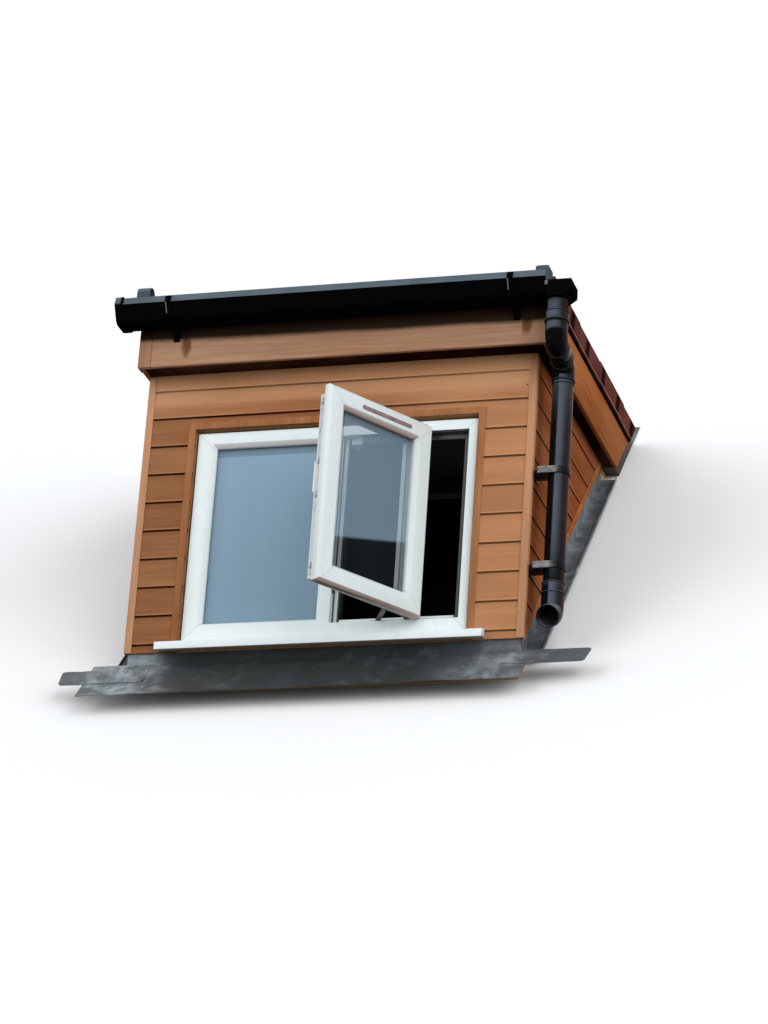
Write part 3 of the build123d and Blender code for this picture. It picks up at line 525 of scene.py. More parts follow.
def black_plastic(
    recipe, tones, bloom=1.0, base_tone=None, weather=None, scuffs=(), below=None, gloss=0.0
):
    """Black plastic with dust and a painted sky sheen on what faces the sky and, where asked for,
    a painted sheen on its front and left.

    The sheen side gives how far the surface turns right, and how far down, where that sheen
    starts. Glints are painted highlights, pale boxes in x and z. Below is the level above which
    the plastic stays plain black, without dust film or painted sheen.
    """
    point = x, _, z = recipe.place()
    dust = recipe.cloud(point, (9.0, 14.0, 14.0), 5.0, 0.7)
    spots = recipe.ease(recipe.cloud(point, 70.0, 2.0), 0.62, 0.72)
    # dust and a painted sky sheen on what faces the sky
    film = recipe.ease(recipe.facing(), 0.10, 0.30)
    film = film * recipe.ease(dust, 0.25, 0.70, 0.70, 1.0) * bloom
    base = recipe.blend(film, base_tone or tones.black, tones.bloom)
    if weather is not None:
        base = weathered(recipe, tones, base, dust, weather)
    if below is not None:
        base = recipe.wash(base, z > below, tones.black)
    # painted glints
    for near, far in scuffs:
        base = recipe.wash(base, inside((x, z), near, far) * 0.8, "8C9092")
    base = recipe.wash(base, spots * 0.015, "8B8F92")
    rough = recipe.ease(dust, 0.3, 0.7, 0.16, 0.30) + film * 0.25
    wave = recipe.cloud(point, (6.0, 25.0, 12.0), 2.0)
    bump = recipe.relief(wave, 0.12, 0.002)
    return recipe.finish(base, rough, normal=bump, specular_ior_level=gloss)


def clip_plastic(recipe, tones):
    """The pipe clips: black, with a painted pale sheen on the front strap, towards its left."""
    point = x, y, _ = recipe.place()
    worn = recipe.cloud(point, (55.0, 55.0, 90.0), 5.0, 0.7)
    # painted sheen on the front of the strap, towards its left
    front = recipe.ease(y, PIPE[1] - 0.037, PIPE[1] - 0.033, 1.0, 0.0)
    left = recipe.ease(x, PIPE[0] - 0.012, PIPE[0] + 0.010, 1.0, 0.15)
    pale = front * left * recipe.ease(worn, 0.30, 0.62, 0.35, 1.0)
    base = recipe.blend(pale, tones.black, linear("8E8C8B"))
    rough = recipe.ease(worn, 0.3, 0.7, 0.25, 0.45)
    return recipe.finish(base, rough, normal=recipe.relief(worn, 0.3, 0.001), specular_ior_level=0.10)


def sheet_lead(recipe, tones):
    """Weathered lead with bright dressed patches, streaks, scratches and a painted sill shadow."""
    point = x, _, _ = recipe.place()
    patch = recipe.cloud(point, (9.0, 12.0, 12.0), 6.0, 0.68, 0.4)
    streak = recipe.cloud(point, (34.0, 9.0, 9.0), 4.0, 0.6)
    scratch = recipe.cloud(point, (60.0, 330.0, 330.0), 2.0)
    near_left = recipe.ease((x + 0.66).size(), 0.06, 0.20, 1.0, 0.0)
    near_right = recipe.ease((x - 0.60).size(), 0.04, 0.14, 1.0, 0.0)
    worked = near_left.atleast(near_right)
    bright = recipe.ease(patch * 0.75 + streak * 0.25 + worked * 0.10, 0.50, 0.72, 0.0, 0.85)
    base = recipe.blend(bright, tones.lead, tones.lead_bright)
    base = recipe.wash(base, recipe.ease(scratch, 0.70, 0.80, 0.0, 0.35), "B8C0C4")
    dull = recipe.cloud(point, 3.0, 3.0)
    base = recipe.wash(base, recipe.ease(dull, 0.42, 0.70, 0.0, 0.45), "3C4144")
    # painted shadow of the sill on the middle of the apron
    sheltered = recipe.ease((x + 0.05).size(), 0.36, 0.60, 0.88, 0.0)
    sheltered = sheltered * recipe.ease(patch, 0.3, 0.7, 1.0, 0.8)
    base = recipe.wash(base, sheltered, "1C1F1F")
    rough = recipe.ease(patch, 0.3, 0.7, 0.58, 0.36)
    bump = recipe.relief(patch, 0.35, 0.003)
    bump = recipe.relief(streak, 0.2, 0.0015, bump)
    return recipe.finish(base, rough, normal=bump, metallic=0.35)


def kerb_skirt(recipe, tones):
    """Folded brown skirt: soft dents, dust, slanting painted reflections at an even spacing."""
    point = _, y, z = recipe.place()
    dent = recipe.cloud(point, (16.0, 8.0, 16.0), 3.0)
    dust = recipe.cloud(point, 20.0, 6.0, 0.7)
    base = recipe.blend(recipe.ease(dent, 0.35, 0.65), shaded(tones.skirt, 0.72), tones.skirt)
    base = recipe.wash(base, recipe.ease(dust, 0.58, 0.80, 0.0, 0.25), "7D6460")
    # painted reflections of the tile courses, as slanting dark marks
    beat = ((y - z * 0.25 + 0.43 + dent * 0.02) / 0.225).part()
    mark = recipe.ease(beat, 0.02, 0.10) * recipe.ease(beat, 0.24, 0.34, 1.0, 0.0)
    base = recipe.wash(base, mark * 0.88, "120808")
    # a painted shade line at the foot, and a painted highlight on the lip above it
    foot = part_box("kerb_right")[0].z
    base = recipe.wash(base, recipe.ease(z, foot + 0.010, foot + 0.013, 0.85, 0.0), "1A0C0A")
    fold = recipe.ease(z, foot + 0.012, foot + 0.014)
    fold = fold * recipe.ease(z, foot + 0.017, foot + 0.020, 1.0, 0.0)
    base = recipe.wash(base, fold * 0.6, "B08478")
    rough = recipe.ease(dust, 0.3, 0.7, 0.22, 0.42)
    bump = recipe.relief(dent, 0.35, 0.006)
    return recipe.finish(base, rough, normal=bump, specular_ior_level=0.0)


def pane(recipe, tones, tone, fade, solid=0.95, band=None):
    """A sealed unit whose colour is a painted reflection of a grey sky.

    Fade gives the low and the high level of a darker foot in painted shade, its depth and its
    slant. Band is the level above which the head lies in painted shade. Solid is 1 where nothing
    shows through.
    """
    point = _, y, z = recipe.place()
    streak = recipe.cloud(point, (9.0, 9.0, 0.8), 3.0, 0.5)
    base = recipe.blend(recipe.ease(streak, 0.30, 0.75, 0.0, 0.16), tone, shaded(tone, 0.78))
    low, high, depth, slant = fade
    foot = recipe.ease(z + y * slant, low, high, depth, 0.0)
    base = recipe.wash(base, foot, shaded(tone, 0.015))
    if band:
        shadow = recipe.ease(z, band - 0.002, band + 0.002, 0.0, 0.45)
        base = recipe.wash(base, shadow, shaded(tone, 0.35))
    smear = recipe.cloud(point, 12.0, 4.0)
    rough = recipe.ease(smear, 0.3, 0.7, 0.03, 0.09)
    return recipe.finish(base, rough, alpha=solid, specular_ior_level=0.03)


def rubber(recipe, tones):
    """Matt black gasket."""
    point = recipe.place()
    dust = recipe.cloud(point, 40.0, 4.0)
    base = recipe.blend(recipe.ease(dust, 0.45, 0.75, 0.0, 0.3), tones.gasket, linear("242628"))
    return recipe.finish(base, recipe.ease(dust, 0.3, 0.7, 0.5, 0.75))


def bright_steel(recipe, tones, axis, shade, metal=0.9):
    """Zinc-plated steel, brushed along an axis, in a darker or brighter shade."""
    point = along(recipe, axis)
    brush = recipe.cloud(point, (30.0, 900.0, 900.0), 3.0)
    tarnish = recipe.cloud(point, 18.0, 5.0, 0.7)
    bright = shaded(tones.steel, shade)
    base = recipe.blend(recipe.ease(tarnish, 0.4, 0.7), bright, shaded(bright, 0.62))
    rough = recipe.ease(brush, 0.3, 0.7, 0.28, 0.46)
    return recipe.finish(base, rough, normal=recipe.relief(brush, 0.1, 0.0004), metallic=metal)


def white_paint(recipe, tones):
    """White powder-coated handle."""
    point = recipe.place()
    peel = recipe.cloud(point, 300.0, 2.0)
    base = recipe.blend(recipe.ease(peel, 0.3, 0.7, 0.0, 0.1), tones.white, linear("C9CCCD"))
    return recipe.finish(base, 0.3, normal=recipe.relief(peel, 0.15, 0.0003))


def grey_cap(recipe, tones):
    """Pinkish grey moulded cover."""
    point = recipe.place()
    mottle = recipe.cloud(point, 60.0, 4.0)
    base = recipe.blend(recipe.ease(mottle, 0.4, 0.7), linear("8E7A76"), linear("766560"))
    return recipe.finish(base, recipe.ease(mottle, 0.3, 0.7, 0.4, 0.6))


def sawn_timber(recipe, tones, axis):
    """Sawn softwood with growth rings, knots and saw marks."""
    point = along(recipe, axis)
    ring = recipe.cloud(point, (1.6, 55.0, 55.0), 6.0, 0.6, 0.6)
    saw = recipe.cloud(point, (260.0, 12.0, 12.0), 2.0)
    knot = recipe.cloud(point, (7.0, 20.0, 20.0), 1.0)
    base = recipe.blend(recipe.ease(ring, 0.35, 0.68), shaded(tones.timber, 0.55), tones.timber)
    base = recipe.wash(base, recipe.ease(knot, 0.74, 0.82, 0.0, 0.8), "5A3A1F")
    bump = recipe.relief(saw * 0.5 + ring * 0.5, 0.4, 0.0012)
    return recipe.finish(base, recipe.ease(saw, 0.3, 0.7, 0.65, 0.85), normal=bump)


def sheathing(recipe, tones, axis, shade=1.0):
    """Plywood sheathing with broad rotary grain, in a lighter or darker shade."""
    point = along(recipe, axis)
    wave = recipe.cloud(point, (1.4, 9.0, 16.0), 4.0, 0.55, 1.2)
    line = recipe.cloud(point, (5.0, 90.0, 160.0), 4.0)
    patch = recipe.ease(recipe.cloud(point, (5.0, 9.0, 9.0), 1.0), 0.74, 0.78)
    pale = shaded(tones.ply, shade)
    base = recipe.blend(recipe.ease(wave * 0.7 + line * 0.3, 0.38, 0.66), shaded(pale, 0.6), pale)
    base = recipe.wash(base, patch * 0.6 * shade, "6E4A28")
    return recipe.finish(base, 0.78, normal=recipe.relief(line, 0.3, 0.0008))


def plain_lining(recipe, tones):
    """Board that lines the room, painted dark as painted shade for the unlit room."""
    point = recipe.place()
    fibre = recipe.cloud(point, 90.0, 4.0)
    wash = recipe.cloud(point, 4.0, 3.0)
    base = recipe.blend(recipe.ease(wash, 0.35, 0.7), tones.lining, shaded(tones.lining, 0.7))
    return recipe.finish(base, 0.85, normal=recipe.relief(fibre, 0.2, 0.0005))


def roof_sheet(recipe, tones):
    """Dark roofing sheet with ponding marks and light ripples."""
    point = recipe.place()
    pond = recipe.cloud(point, 3.2, 6.0, 0.62, 0.5)
    grit = recipe.cloud(point, 130.0, 3.0)
    base = recipe.blend(recipe.ease(pond, 0.46, 0.60, 0.0, 0.55), tones.membrane, linear("6C6A62"))
    base = recipe.wash(base, recipe.ease(grit, 0.55, 0.75, 0.0, 0.3), "77787A")
    bump = recipe.relief(pond, 0.4, 0.004)
    bump = recipe.relief(grit, 0.25, 0.0006, bump)
    return recipe.finish(base, recipe.ease(pond, 0.3, 0.7, 0.75, 0.5), normal=bump)


# Shapes


def add_cad(bm, node):
    """Adds a merged copy of a CAD node's mesh, with its flat faces joined up."""
    before = set(bm.verts)
    bm.from_mesh(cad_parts[node].data)
    fresh = [v for v in bm.verts if v not in before]
    bmesh.ops.remove_doubles(bm, verts=fresh, dist=0.00002)
    fresh = [v for v in bm.verts if v not in before]
    edges = [e for e in bm.edges if e.verts[0] not in before]
    bmesh.ops.dissolve_limit(bm, angle_limit=math.radians(0.5), verts=fresh, edges=edges)
    return [v for v in bm.verts if v not in before]


def slab(bm, low, high):
    """Adds a square-edged block between two corners."""
    middle = [(a + b) / 2 for a, b in zip(low, high)]
    size = [b - a for a, b in zip(low, high)]
    matrix = Matrix.Translation(middle) @ Matrix.Diagonal((*size, 1.0))
    return bmesh.ops.create_cube(bm, size=1.0, matrix=matrix)["verts"]


def thicken(bm, faces, travel):
    """Carries faces along a vector, closes the sides and returns the carried points."""
    grown = bmesh.ops.extrude_face_region(bm, geom=faces, use_keep_orig=True)
    moved = [item for item in grown["geom"] if isinstance(item, bmesh.types.BMVert)]
    bmesh.ops.translate(bm, verts=moved, vec=travel)
    return moved


def run(bm, outline, travel):
    """Adds a closed outline of points carried along a vector."""
    corners = [bm.verts.new(point) for point in outline]
    return corners + thicken(bm, [bm.faces.new(corners)], travel)


def ease_edges(bm, width, segments=2, angle=32, verts=None):
    """Rounds the sharp edges."""
    chosen = set(verts) if verts is not None else None
    edges = [
        edge for edge in bm.edges
        if edge.is_manifold and edge.calc_face_angle(0.0) > math.radians(angle)
        and (chosen is None or (edge.verts[0] in chosen and edge.verts[1] in chosen))
    ]
    bmesh.ops.bevel(
        bm, geom=edges, offset=width, offset_type="OFFSET", affect="EDGES",
        segments=segments, profile=0.5, material=-1, clamp_overlap=True,
    )


def trim(bm, point, normal, verts=None):
    """Cuts off what lies beyond a plane and closes the cut."""
    if verts is None:
        geometry = bm.verts[:] + bm.edges[:] + bm.faces[:]
    else:
        chosen = set(verts)
        edges = [e for e in bm.edges if e.verts[0] in chosen]
        faces = [f for f in bm.faces if f.verts[0] in chosen]
        geometry = list(chosen) + edges + faces
    cut = bmesh.ops.bisect_plane(
        bm, geom=geometry, plane_co=point, plane_no=normal, clear_outer=True
    )
    edges = [item for item in cut["geom_cut"] if isinstance(item, bmesh.types.BMEdge)]
    if edges:
        bmesh.ops.holes_fill(bm, edges=edges, sides=0)


def join_into(bm, part, matrix=None):
    """Adds a finished part to a larger mesh."""
    if matrix is not None:
        bmesh.ops.transform(part, matrix=matrix, verts=part.verts)
    carrier = bpy.data.meshes.new("part")
    part.to_mesh(carrier)
    part.free()
    bm.from_mesh(carrier)
    bpy.data.meshes.remove(carrier)


def stand(centre, axis):
    """The placing that sets an upright part at a point, along an axis."""
    turn = Vector((0, 0, 1)).rotation_difference(Vector(axis).normalized())
    return Matrix.Translation(centre) @ turn.to_matrix().to_4x4()


def spin_round(part, points, pairs, steps):
    """Turns (radius, level) points, joined in pairs, full circle about the upright axis."""
    corners = [part.verts.new((radius, 0.0, level)) for radius, level in points]
    edges = [part.edges.new((corners[first], corners[second])) for first, second in pairs]
    bmesh.ops.spin(
        part, geom=corners + edges, cent=(0, 0, 0), axis=(0, 0, 1),
        angle=2 * math.pi, steps=steps, use_merge=True,
    )


def ring(bm, centre, axis, outline, steps=48):
    """Adds a turned ring about an axis, from (radius, distance along the axis) points."""
    part = bmesh.new()
    count = len(outline)
    spin_round(part, outline, [(i, (i + 1) % count) for i in range(count)], steps)
    bmesh.ops.recalc_face_normals(part, faces=part.faces)
    join_into(bm, part, stand(centre, axis))


def stud(bm, centre, axis, radius, height):
    """Adds a low domed screw head that stands on a surface."""
    part = bmesh.new()
    angles = (0.0, 0.4, 0.8, 1.2, math.pi / 2)
    points = [(radius * math.cos(angle), height * math.sin(angle)) for angle in angles]
    spin_round(part, points, [(i, i + 1) for i in range(len(points) - 1)], 16)
    bmesh.ops.remove_doubles(part, verts=part.verts, dist=0.00001)
    rim = [edge for edge in part.edges if edge.is_boundary]
    bmesh.ops.holes_fill(part, edges=rim, sides=0)
    bmesh.ops.recalc_face_normals(part, faces=part.faces)
    join_into(bm, part, stand(centre, axis))


def bead_outline(radius, size, level):
    """The outline of a small round bead that stands proud of a pipe and is let into it."""
    inner = radius - 0.0005
    steps = 8
    turns = [math.pi * step / steps for step in range(steps + 1)]
    bead = [(radius + size * math.sin(turn), level - size * math.cos(turn)) for turn in turns]
    return [(inner, level - size), *bead, (inner, level + size)]


def thin_frame(bm, corners, width, depth, place):
    """Adds a thin frame inside a rectangle of two (x, z) corners: inset, cleared, thickened."""
    part = bmesh.new()
    (left, foot), (right, head) = corners
    outer = ((left, foot), (right, foot), (right, head), (left, head))
    face = part.faces.new([part.verts.new((x, 0.0, z)) for x, z in outer])
    bmesh.ops.inset_region(
        part, faces=[face], thickness=width, use_boundary=True, use_even_offset=True
    )
    bmesh.ops.delete(part, geom=[face], context="FACES_ONLY")
    thicken(part, part.faces[:], (0, depth, 0))
    bmesh.ops.recalc_face_normals(part, faces=part.faces)
    join_into(bm, part, place)


def finished(name, bm, material, nodes, smooth=35):
    """Turns a mesh into a piece that rides on the dormer and stands for its CAD nodes."""
    bmesh.ops.remove_doubles(bm, verts=bm.verts, dist=0.000005)
    bmesh.ops.recalc_face_normals(bm, faces=bm.faces)
    mesh = bpy.data.meshes.new(name)
    bm.to_mesh(mesh)
    bm.free()
    mesh.materials.append(material)
    mesh.shade_smooth()
    mesh.set_sharp_from_angle(angle=math.radians(smooth))
    piece = bpy.data.objects.new(name, mesh)
    bpy.context.scene.collection.objects.link(piece)
    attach(piece, "root")
    if nodes:
        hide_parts(*nodes)


def eased_copy(name, node, material, width, segments=2, smooth=35):
    """A piece with the shape of a CAD node and rounded edges."""
    bm = bmesh.new()
    add_cad(bm, node)
    ease_edges(bm, width, segments)
    finished(name, bm, material, [node], smooth)


def sash_place():
    """Where the open casement's outer face stands: x across, y inward, z up."""
    low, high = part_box("casement_sash")
    corner = Vector((low.x + SASH_DEPTH * math.sin(OPEN_ANGLE), low.y, low.z))
    return Matrix.Translation(corner) @ Matrix.Rotation(OPEN_ANGLE, 4, "Z"), high.z - low.z


def sizes():
    """The size settings."""
    return bpy.context.scene.dormer_sizes


def joint_levels():
    """First joint, board cover and joint height of the cladding."""
    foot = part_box("corner_trims")[0].z
    settings = sizes()
    return foot + settings.first_groove, settings.board_pitch, settings.groove_height


# Cladding and trims


def board_rows(low, high):
    """The lower and upper level of each board between two heights."""
    first, pitch, _ = joint_levels()
    rows = [(low, first)]
    level = first
    while level < high - 0.001:
        rows.append((level, min(level + pitch, high)))
        level += pitch
    return rows


def board_outline(low, high, thick, jointed):
    """One board's section as (depth, level) points, with a joint cut into its foot."""
    if not jointed:
        return [(0, low), (thick, low), (thick, high), (0, high)]
    floor = thick - sizes().groove_depth
    step = sizes().groove_height
    joint = [(floor, low), (floor, low + step * 0.55), (thick, low + step)]
    return [(0, low), *joint, (thick, high), (0, high)]


def front_cladding():
    """Boards across the front, cut round the window."""
    low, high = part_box("cladding_front")
    thick = high.y - low.y
    trim_low, trim_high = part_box("window_trim")
    overlap = 0.024
    left, right = trim_low.x + overlap, trim_high.x - overlap
    top = trim_high.z - overlap
    bm = bmesh.new()
    for bottom, upper in board_rows(low.z, high.z):
        outline = board_outline(bottom, upper, thick, bottom > low.z)
        for start, end in ((low.x, left), (left, right), (right, high.x)):
            if start == left and upper <= top:
                continue
            points = [(start, high.y - depth, level) for depth, level in outline]
            verts = run(bm, points, (end - start, 0, 0))
            if start == left and bottom < top:
                trim(bm, (0, 0, top), (0, 0, -1), verts)
    # bleach paints light and shade on the boards
    material = stock("oak_front", oak, "x", joints=joint_levels(), bleach=(0.93, 0.99, 0.60))
    finished("front_boards", bm, material, ["cladding_front"], 20)


def cheek_cladding(side):
    """Boards along one cheek, cut to the slope of the roof."""
    node = f"cladding_cheek_{side}"
    hand = 1 if side == "right" else -1
    low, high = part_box(node)
    thick = high.x - low.x
    back = low.x if hand > 0 else high.x
    lift = (PLATE_THICK + CHEEK_GAP) / math.cos(ROOF_PITCH)
    bm = bmesh.new()
    for bottom, upper in board_rows(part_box("corner_trims")[0].z, high.z):
        outline = board_outline(bottom, upper, thick, True)
        points = [(back + hand * depth, low.y, level) for depth, level in outline]
        run(bm, points, (0, high.y - low.y, 0))
    trim(bm, (0, 0, lift), INTO_ROOF)
    # the cheeks' darker, redder oak is painted shade and a painted red reflection
    material = stock("oak_cheek", oak, "y", "cheek", joint_levels(), gloss=0.0)
    finished(f"cheek_boards_{side}", bm, material, [node], 20)


def oak_trims():
    """Corner, window and closing trims, and the soffit, with softened edges."""
    width = sizes().trim_round
    # Painted shade: on the window surround's faces that look down, and in the soffit's near-black oak
    upright = stock("oak_upright", oak, "z", gloss=0.02, under=0.92)
    corner = stock("oak_corner", oak, "z", "trim", gloss=0.0)
    flat = stock("oak_under", oak, "x", "under", gloss=0.0)
    rake = stock("oak_rake", oak, "y", "rake", gloss=0.0)
    eased_copy("corner_trim_pair", "corner_trims", corner, width)
    eased_copy("cheek_trim_pair", "cheek_trims", rake, width)
    eased_copy("soffit_boards", "soffit", flat, width)
    eased_copy("window_surround", "window_trim", upright, width)


def fascias():
    """Fascia boards with rounded edges, and their corner joints."""
    width = sizes().fascia_round
    gutter_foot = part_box("gutter")[0].z
    band_foot = gutter_foot - 0.058
    stains = tuple((place + 0.034, band_foot) for place in BRACKETS)
    # shade is a painted shade band under the gutter, on the fascia and its corner joints
    shade = (band_foot, gutter_foot - 0.036, 0.96)
    front = stock("oak_fascia", oak, "x", "fascia", stains=stains, shade=shade)
    rake = stock("oak_rake", oak, "y", "rake", gloss=0.0)
    eased_copy("fascia_front_board", "fascia_front", front, width)
    for side in SIDES:
        eased_copy(f"fascia_board_{side}", f"fascia_{side}", rake, width)
    upright = stock("oak_joint_trim", oak, "z", "fascia", shade=shade, gloss=0.0)
    eased_copy("fascia_joints", "fascia_corner_trims", upright, 0.0012)


# Window


def frame_welds():
    """The corners of the outer frame as (across, up, inward across, inward up)."""
    low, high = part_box("window_frame")
    return (
        (low.x, low.z, 1, 1), (high.x, low.z, -1, 1),
        (low.x, high.z, 1, -1), (high.x, high.z, -1, -1),
    )


def frame_hollows(low, high):
    """Boxes of painted shade and black seals: head, right jamb, and the mullion's edge and groove."""
    left, right = low.x + LIGHT_LEFT, high.x - LIGHT_RIGHT
    bottom, top = low.z + LIGHT_FOOT, high.z - LIGHT_HEAD
    rebate = low.y + REBATE
    behind = high.y + 0.01
    return (
        ((left + 0.06, low.y + 0.003, top - 0.024), (right + 0.002, behind, top + 0.002)),
        ((right - 0.024, rebate - 0.001, bottom), (right + 0.002, behind, top)),
        ((left - 0.002, rebate - 0.005, bottom), (left + 0.004, rebate + 0.001, top)),
        ((left + 0.015, rebate - 0.002, bottom), (left + 0.024, behind, top)),
    )


def outer_frame():
    """The fixed frame with its mullion, and the small keep on it."""
    low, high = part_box("window_frame")
    hollows = frame_hollows(low, high)
    white = stock("white_frame", white_profile, frame_welds(), 0.0, hollows=hollows)
    eased_copy("outer_frame", "window_frame", white, sizes().profile_round, 2, 30)
    side = low.x + LIGHT_LEFT
    level, half_tall = 0.299, 0.0175
    middle, half_deep = low.y + 0.0145, 0.0075
    bm = bmesh.new()
    verts = slab(
        bm, (side - 0.001, middle - half_deep, level - half_tall),
        (side + 0.0035, middle + half_deep, level + half_tall),
    )
    ease_edges(bm, 0.001, verts=verts)
    stud(bm, (side + 0.003, middle, level), (1, 0, 0), 0.004, 0.0016)
    finished("mullion_keep", bm, stock("dark_steel", bright_steel, "z", 0.25), (), 30)


def open_casement():
    """The casement held open."""
    place, height = sash_place()
    corners = (
        (0, 0, 1, 1), (SASH_WIDTH, 0, -1, 1), (0, height, 1, -1), (SASH_WIDTH, height, -1, -1)
    )
    origin = place.translation
    welds = tuple((across, origin.z + up, *inward) for across, up, *inward in corners)
    # painted shade, tinted as painted reflected light, on the sash's faces that look down
    under = ("8E6A5C", 0.85)
    white = stock("white_sash", white_profile, welds, OPEN_ANGLE, (origin.x, origin.y), under=under)
    eased_copy("open_casement", "casement_sash", white, sizes().profile_round, 2, 30)


def glass_units():
    """Both sealed units, with softened edges."""
    tones = bpy.context.scene.dormer_colours
    low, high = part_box("fixed_glass")
    shadow = high.z - 0.034
    # the fixed pane's colour is a painted sky reflection with a painted shade band at its head
    fixed = stock("pane_fixed", pane, tones.glass_fixed, (low.z, high.z, 0.0, 0.0), band=shadow)
    eased_copy("fixed_unit", "fixed_glass", fixed, 0.0012)
    # the open pane's colour is a painted sky reflection with a painted dark foot
    opened = stock("pane_open", pane, tones.glass_open, (0.436, 0.448, 0.97, -0.283), 0.36)
    eased_copy("casement_unit", "casement_glass", opened, 0.0012)


def gaskets():
    """Black gaskets round both units, outside and inside, and the casement's seal."""
    width = sizes().gasket_width
    black = stock("gasket", rubber)
    proud = 0.0022
    low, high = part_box("fixed_glass")
    edge = (
        (low.x + GLASS_COVER, low.z + GLASS_COVER), (high.x - GLASS_COVER, high.z - GLASS_COVER)
    )
    bm = bmesh.new()
    for level, depth in ((low.y, -proud), (high.y, proud)):
        thin_frame(bm, edge, width, depth, Matrix.Translation((0, level, 0)))
    finished("fixed_gaskets", bm, black, (), 30)
    place, height = sash_place()
    edge = ((SASH_SIGHT, SASH_SIGHT), (SASH_WIDTH - SASH_SIGHT, height - SASH_SIGHT))
    bm = bmesh.new()
    for level, depth in zip(SASH_GLASS, (-proud, proud)):
        thin_frame(bm, edge, width, depth, place @ Matrix.Translation((0, level, 0)))
    rim, seal_width, seal_depth, seal_level = 0.006, 0.007, 0.004, 0.0295
    seal = ((rim, rim), (SASH_WIDTH - rim, height - rim))
    thin_frame(bm, seal, seal_width, seal_depth, place @ Matrix.Translation((0, seal_level, 0)))
    finished("casement_gaskets", bm, black, (), 30)


def handle_shadow_gap():
    """A black slab behind the handle's plate, inside the sash, as a painted shadow."""
    place, height = sash_place()
    middle = height / 2
    bm = bmesh.new()
    verts = slab(bm, (0.0295, 0.0905, middle - 0.016), (0.0525, 0.0925, middle + 0.108))
    ease_edges(bm, 0.0009, verts=verts)
    bmesh.ops.transform(bm, matrix=place, verts=bm.verts)
    finished("handle_shadow_gap", bm, stock("gasket", rubber), (), 30)


def window_furniture():
    """Lock strip, handle, slot cover and stays, with softened edges."""
    steel_up = stock("steel_upright", bright_steel, "z", 1.7, 0.1)
    steel_flat = stock("steel_flat", bright_steel, "x", 0.35)
    paint = stock("white_paint", white_paint)
    eased_copy("locking_strip", "lock_strip", steel_up, 0.0006)
    eased_copy("inside_handle", "window_handle", paint, 0.003, 3)
    handle_shadow_gap()
    eased_copy("slot_cover", "vent_slot_cover", stock("grey_cap", grey_cap), 0.0009)
    eased_copy("stays", "friction_stays", steel_flat, 0.0006)


def sill_board():
    """The projecting sill with its rounded nose and open ends."""
    white = stock("white_sill", white_profile, (), 0.0)
    eased_copy("projecting_sill", "window_sill", white, 0.0018, 3)


# Roof edge


def sheet_level():
    """The level of the roof sheet, just below the top of the drip trim."""
    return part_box("front_drip_trim")[1].z - 0.002


def kerb_outline(grow, hand, box):
    """The skirt's section as (x, z) points, grown outward a little for the laps."""
    low, high = box
    outer = (high.x if hand > 0 else low.x) + hand * grow
    inner = low.x if hand > 0 else high.x
    sheet = sheet_level()
    top = high.z + grow
    back = outer - hand * (0.008 + grow)
    under = outer - hand * (0.023 + grow)
    return [
        (outer, low.z), (outer - hand * 0.0014, low.z + 0.004), (outer, low.z + 0.010), (outer, top),
        (outer - hand * 0.024, top), (inner, sheet + 0.010), (inner, sheet),
        (under, sheet), (under, sheet - 0.003), (back, sheet - 0.003), (back, low.z),
    ]


def kerb_skirts(side):
    """Folded skirt lengths along one kerb, each lapped over the next, with their screws."""
    hand = 1 if side == "right" else -1
    node = f"kerb_{side}"
    low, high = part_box(node)
    reach = sizes().skirt_length
    bm = bmesh.new()
    start = low.y
    grow = sizes().skirt_step
    outer = high.x if hand > 0 else low.x
    while start < high.y:
        end = min(start + reach + 0.03, high.y)
        part = bmesh.new()
        outline = [(x, start, z) for x, z in kerb_outline(grow, hand, (low, high))]
        run(part, outline, (0, end - start, 0))
        trim(part, (0, 0, TILE_LIFT), INTO_ROOF)
        bmesh.ops.recalc_face_normals(part, faces=part.faces)
        ease_edges(part, 0.0012, 2)
        join_into(bm, part)
        for place in (start + 0.06, start + reach - 0.06):
            level = (low.z + high.z) / 2 + 0.012
            if place * SLOPE + TILE_LIFT < level - 0.01:
                stud(bm, (outer + hand * grow, place, level), (hand, 0, 0), 0.0042, 0.0018)
        start += reach
        grow = sizes().skirt_step - grow
    brown = stock("kerb_skirt", kerb_skirt)
    finished(f"kerb_skirts_{side}", bm, brown, [node], 30)


def kerb_end_caps():
    """Moulded caps on the front ends of the kerbs."""
    grey = stock("cap_plastic", black_plastic, 0.9, linear("4A5057"))
    eased_copy("kerb_end_caps", "kerb_caps", grey, 0.0014, 3, 30)


def flat_roof_sheet():
    """The sheet over the flat roof, with its welded laps."""
    bm = bmesh.new()
    add_cad(bm, "roof_membrane")
    low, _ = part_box("roof_membrane")
    top = sheet_level()
    back = (top - TILE_LIFT) / SLOPE
    half_lap, margin = 0.035, 0.03
    for place in (-0.24, 0.28):
        verts = slab(
            bm, (place - half_lap, low.y + margin, top - 0.0006),
            (place + half_lap, back - margin, top + 0.0012),
        )
        ease_edges(bm, 0.0008, verts=verts)
    sheet = stock("roof_sheet", roof_sheet)
    finished("flat_roof_sheet", bm, sheet, ["roof_membrane"], 30)


def drip_edge():
    """The folded drip trim along the front of the flat roof."""
    black = stock("black_plastic", black_plastic)
    eased_copy("drip_edge", "front_drip_trim", black, 0.0006)


# Rainwater goods


def lip_bead(bm, start, end, radius):
    """Adds a round bead along a gutter's lip, from a point as far as an x."""
    part = bmesh.new()
    turn = Matrix.Rotation(math.pi / 2, 4, "Y")
    disc = bmesh.ops.create_circle(part, cap_ends=True, segments=12, radius=radius, matrix=turn)
    bmesh.ops.translate(part, verts=disc["verts"], vec=start)
    thicken(part, part.faces[:], (end - start[0], 0, 0))
    bmesh.ops.recalc_face_normals(part, faces=part.faces)
    join_into(bm, part)


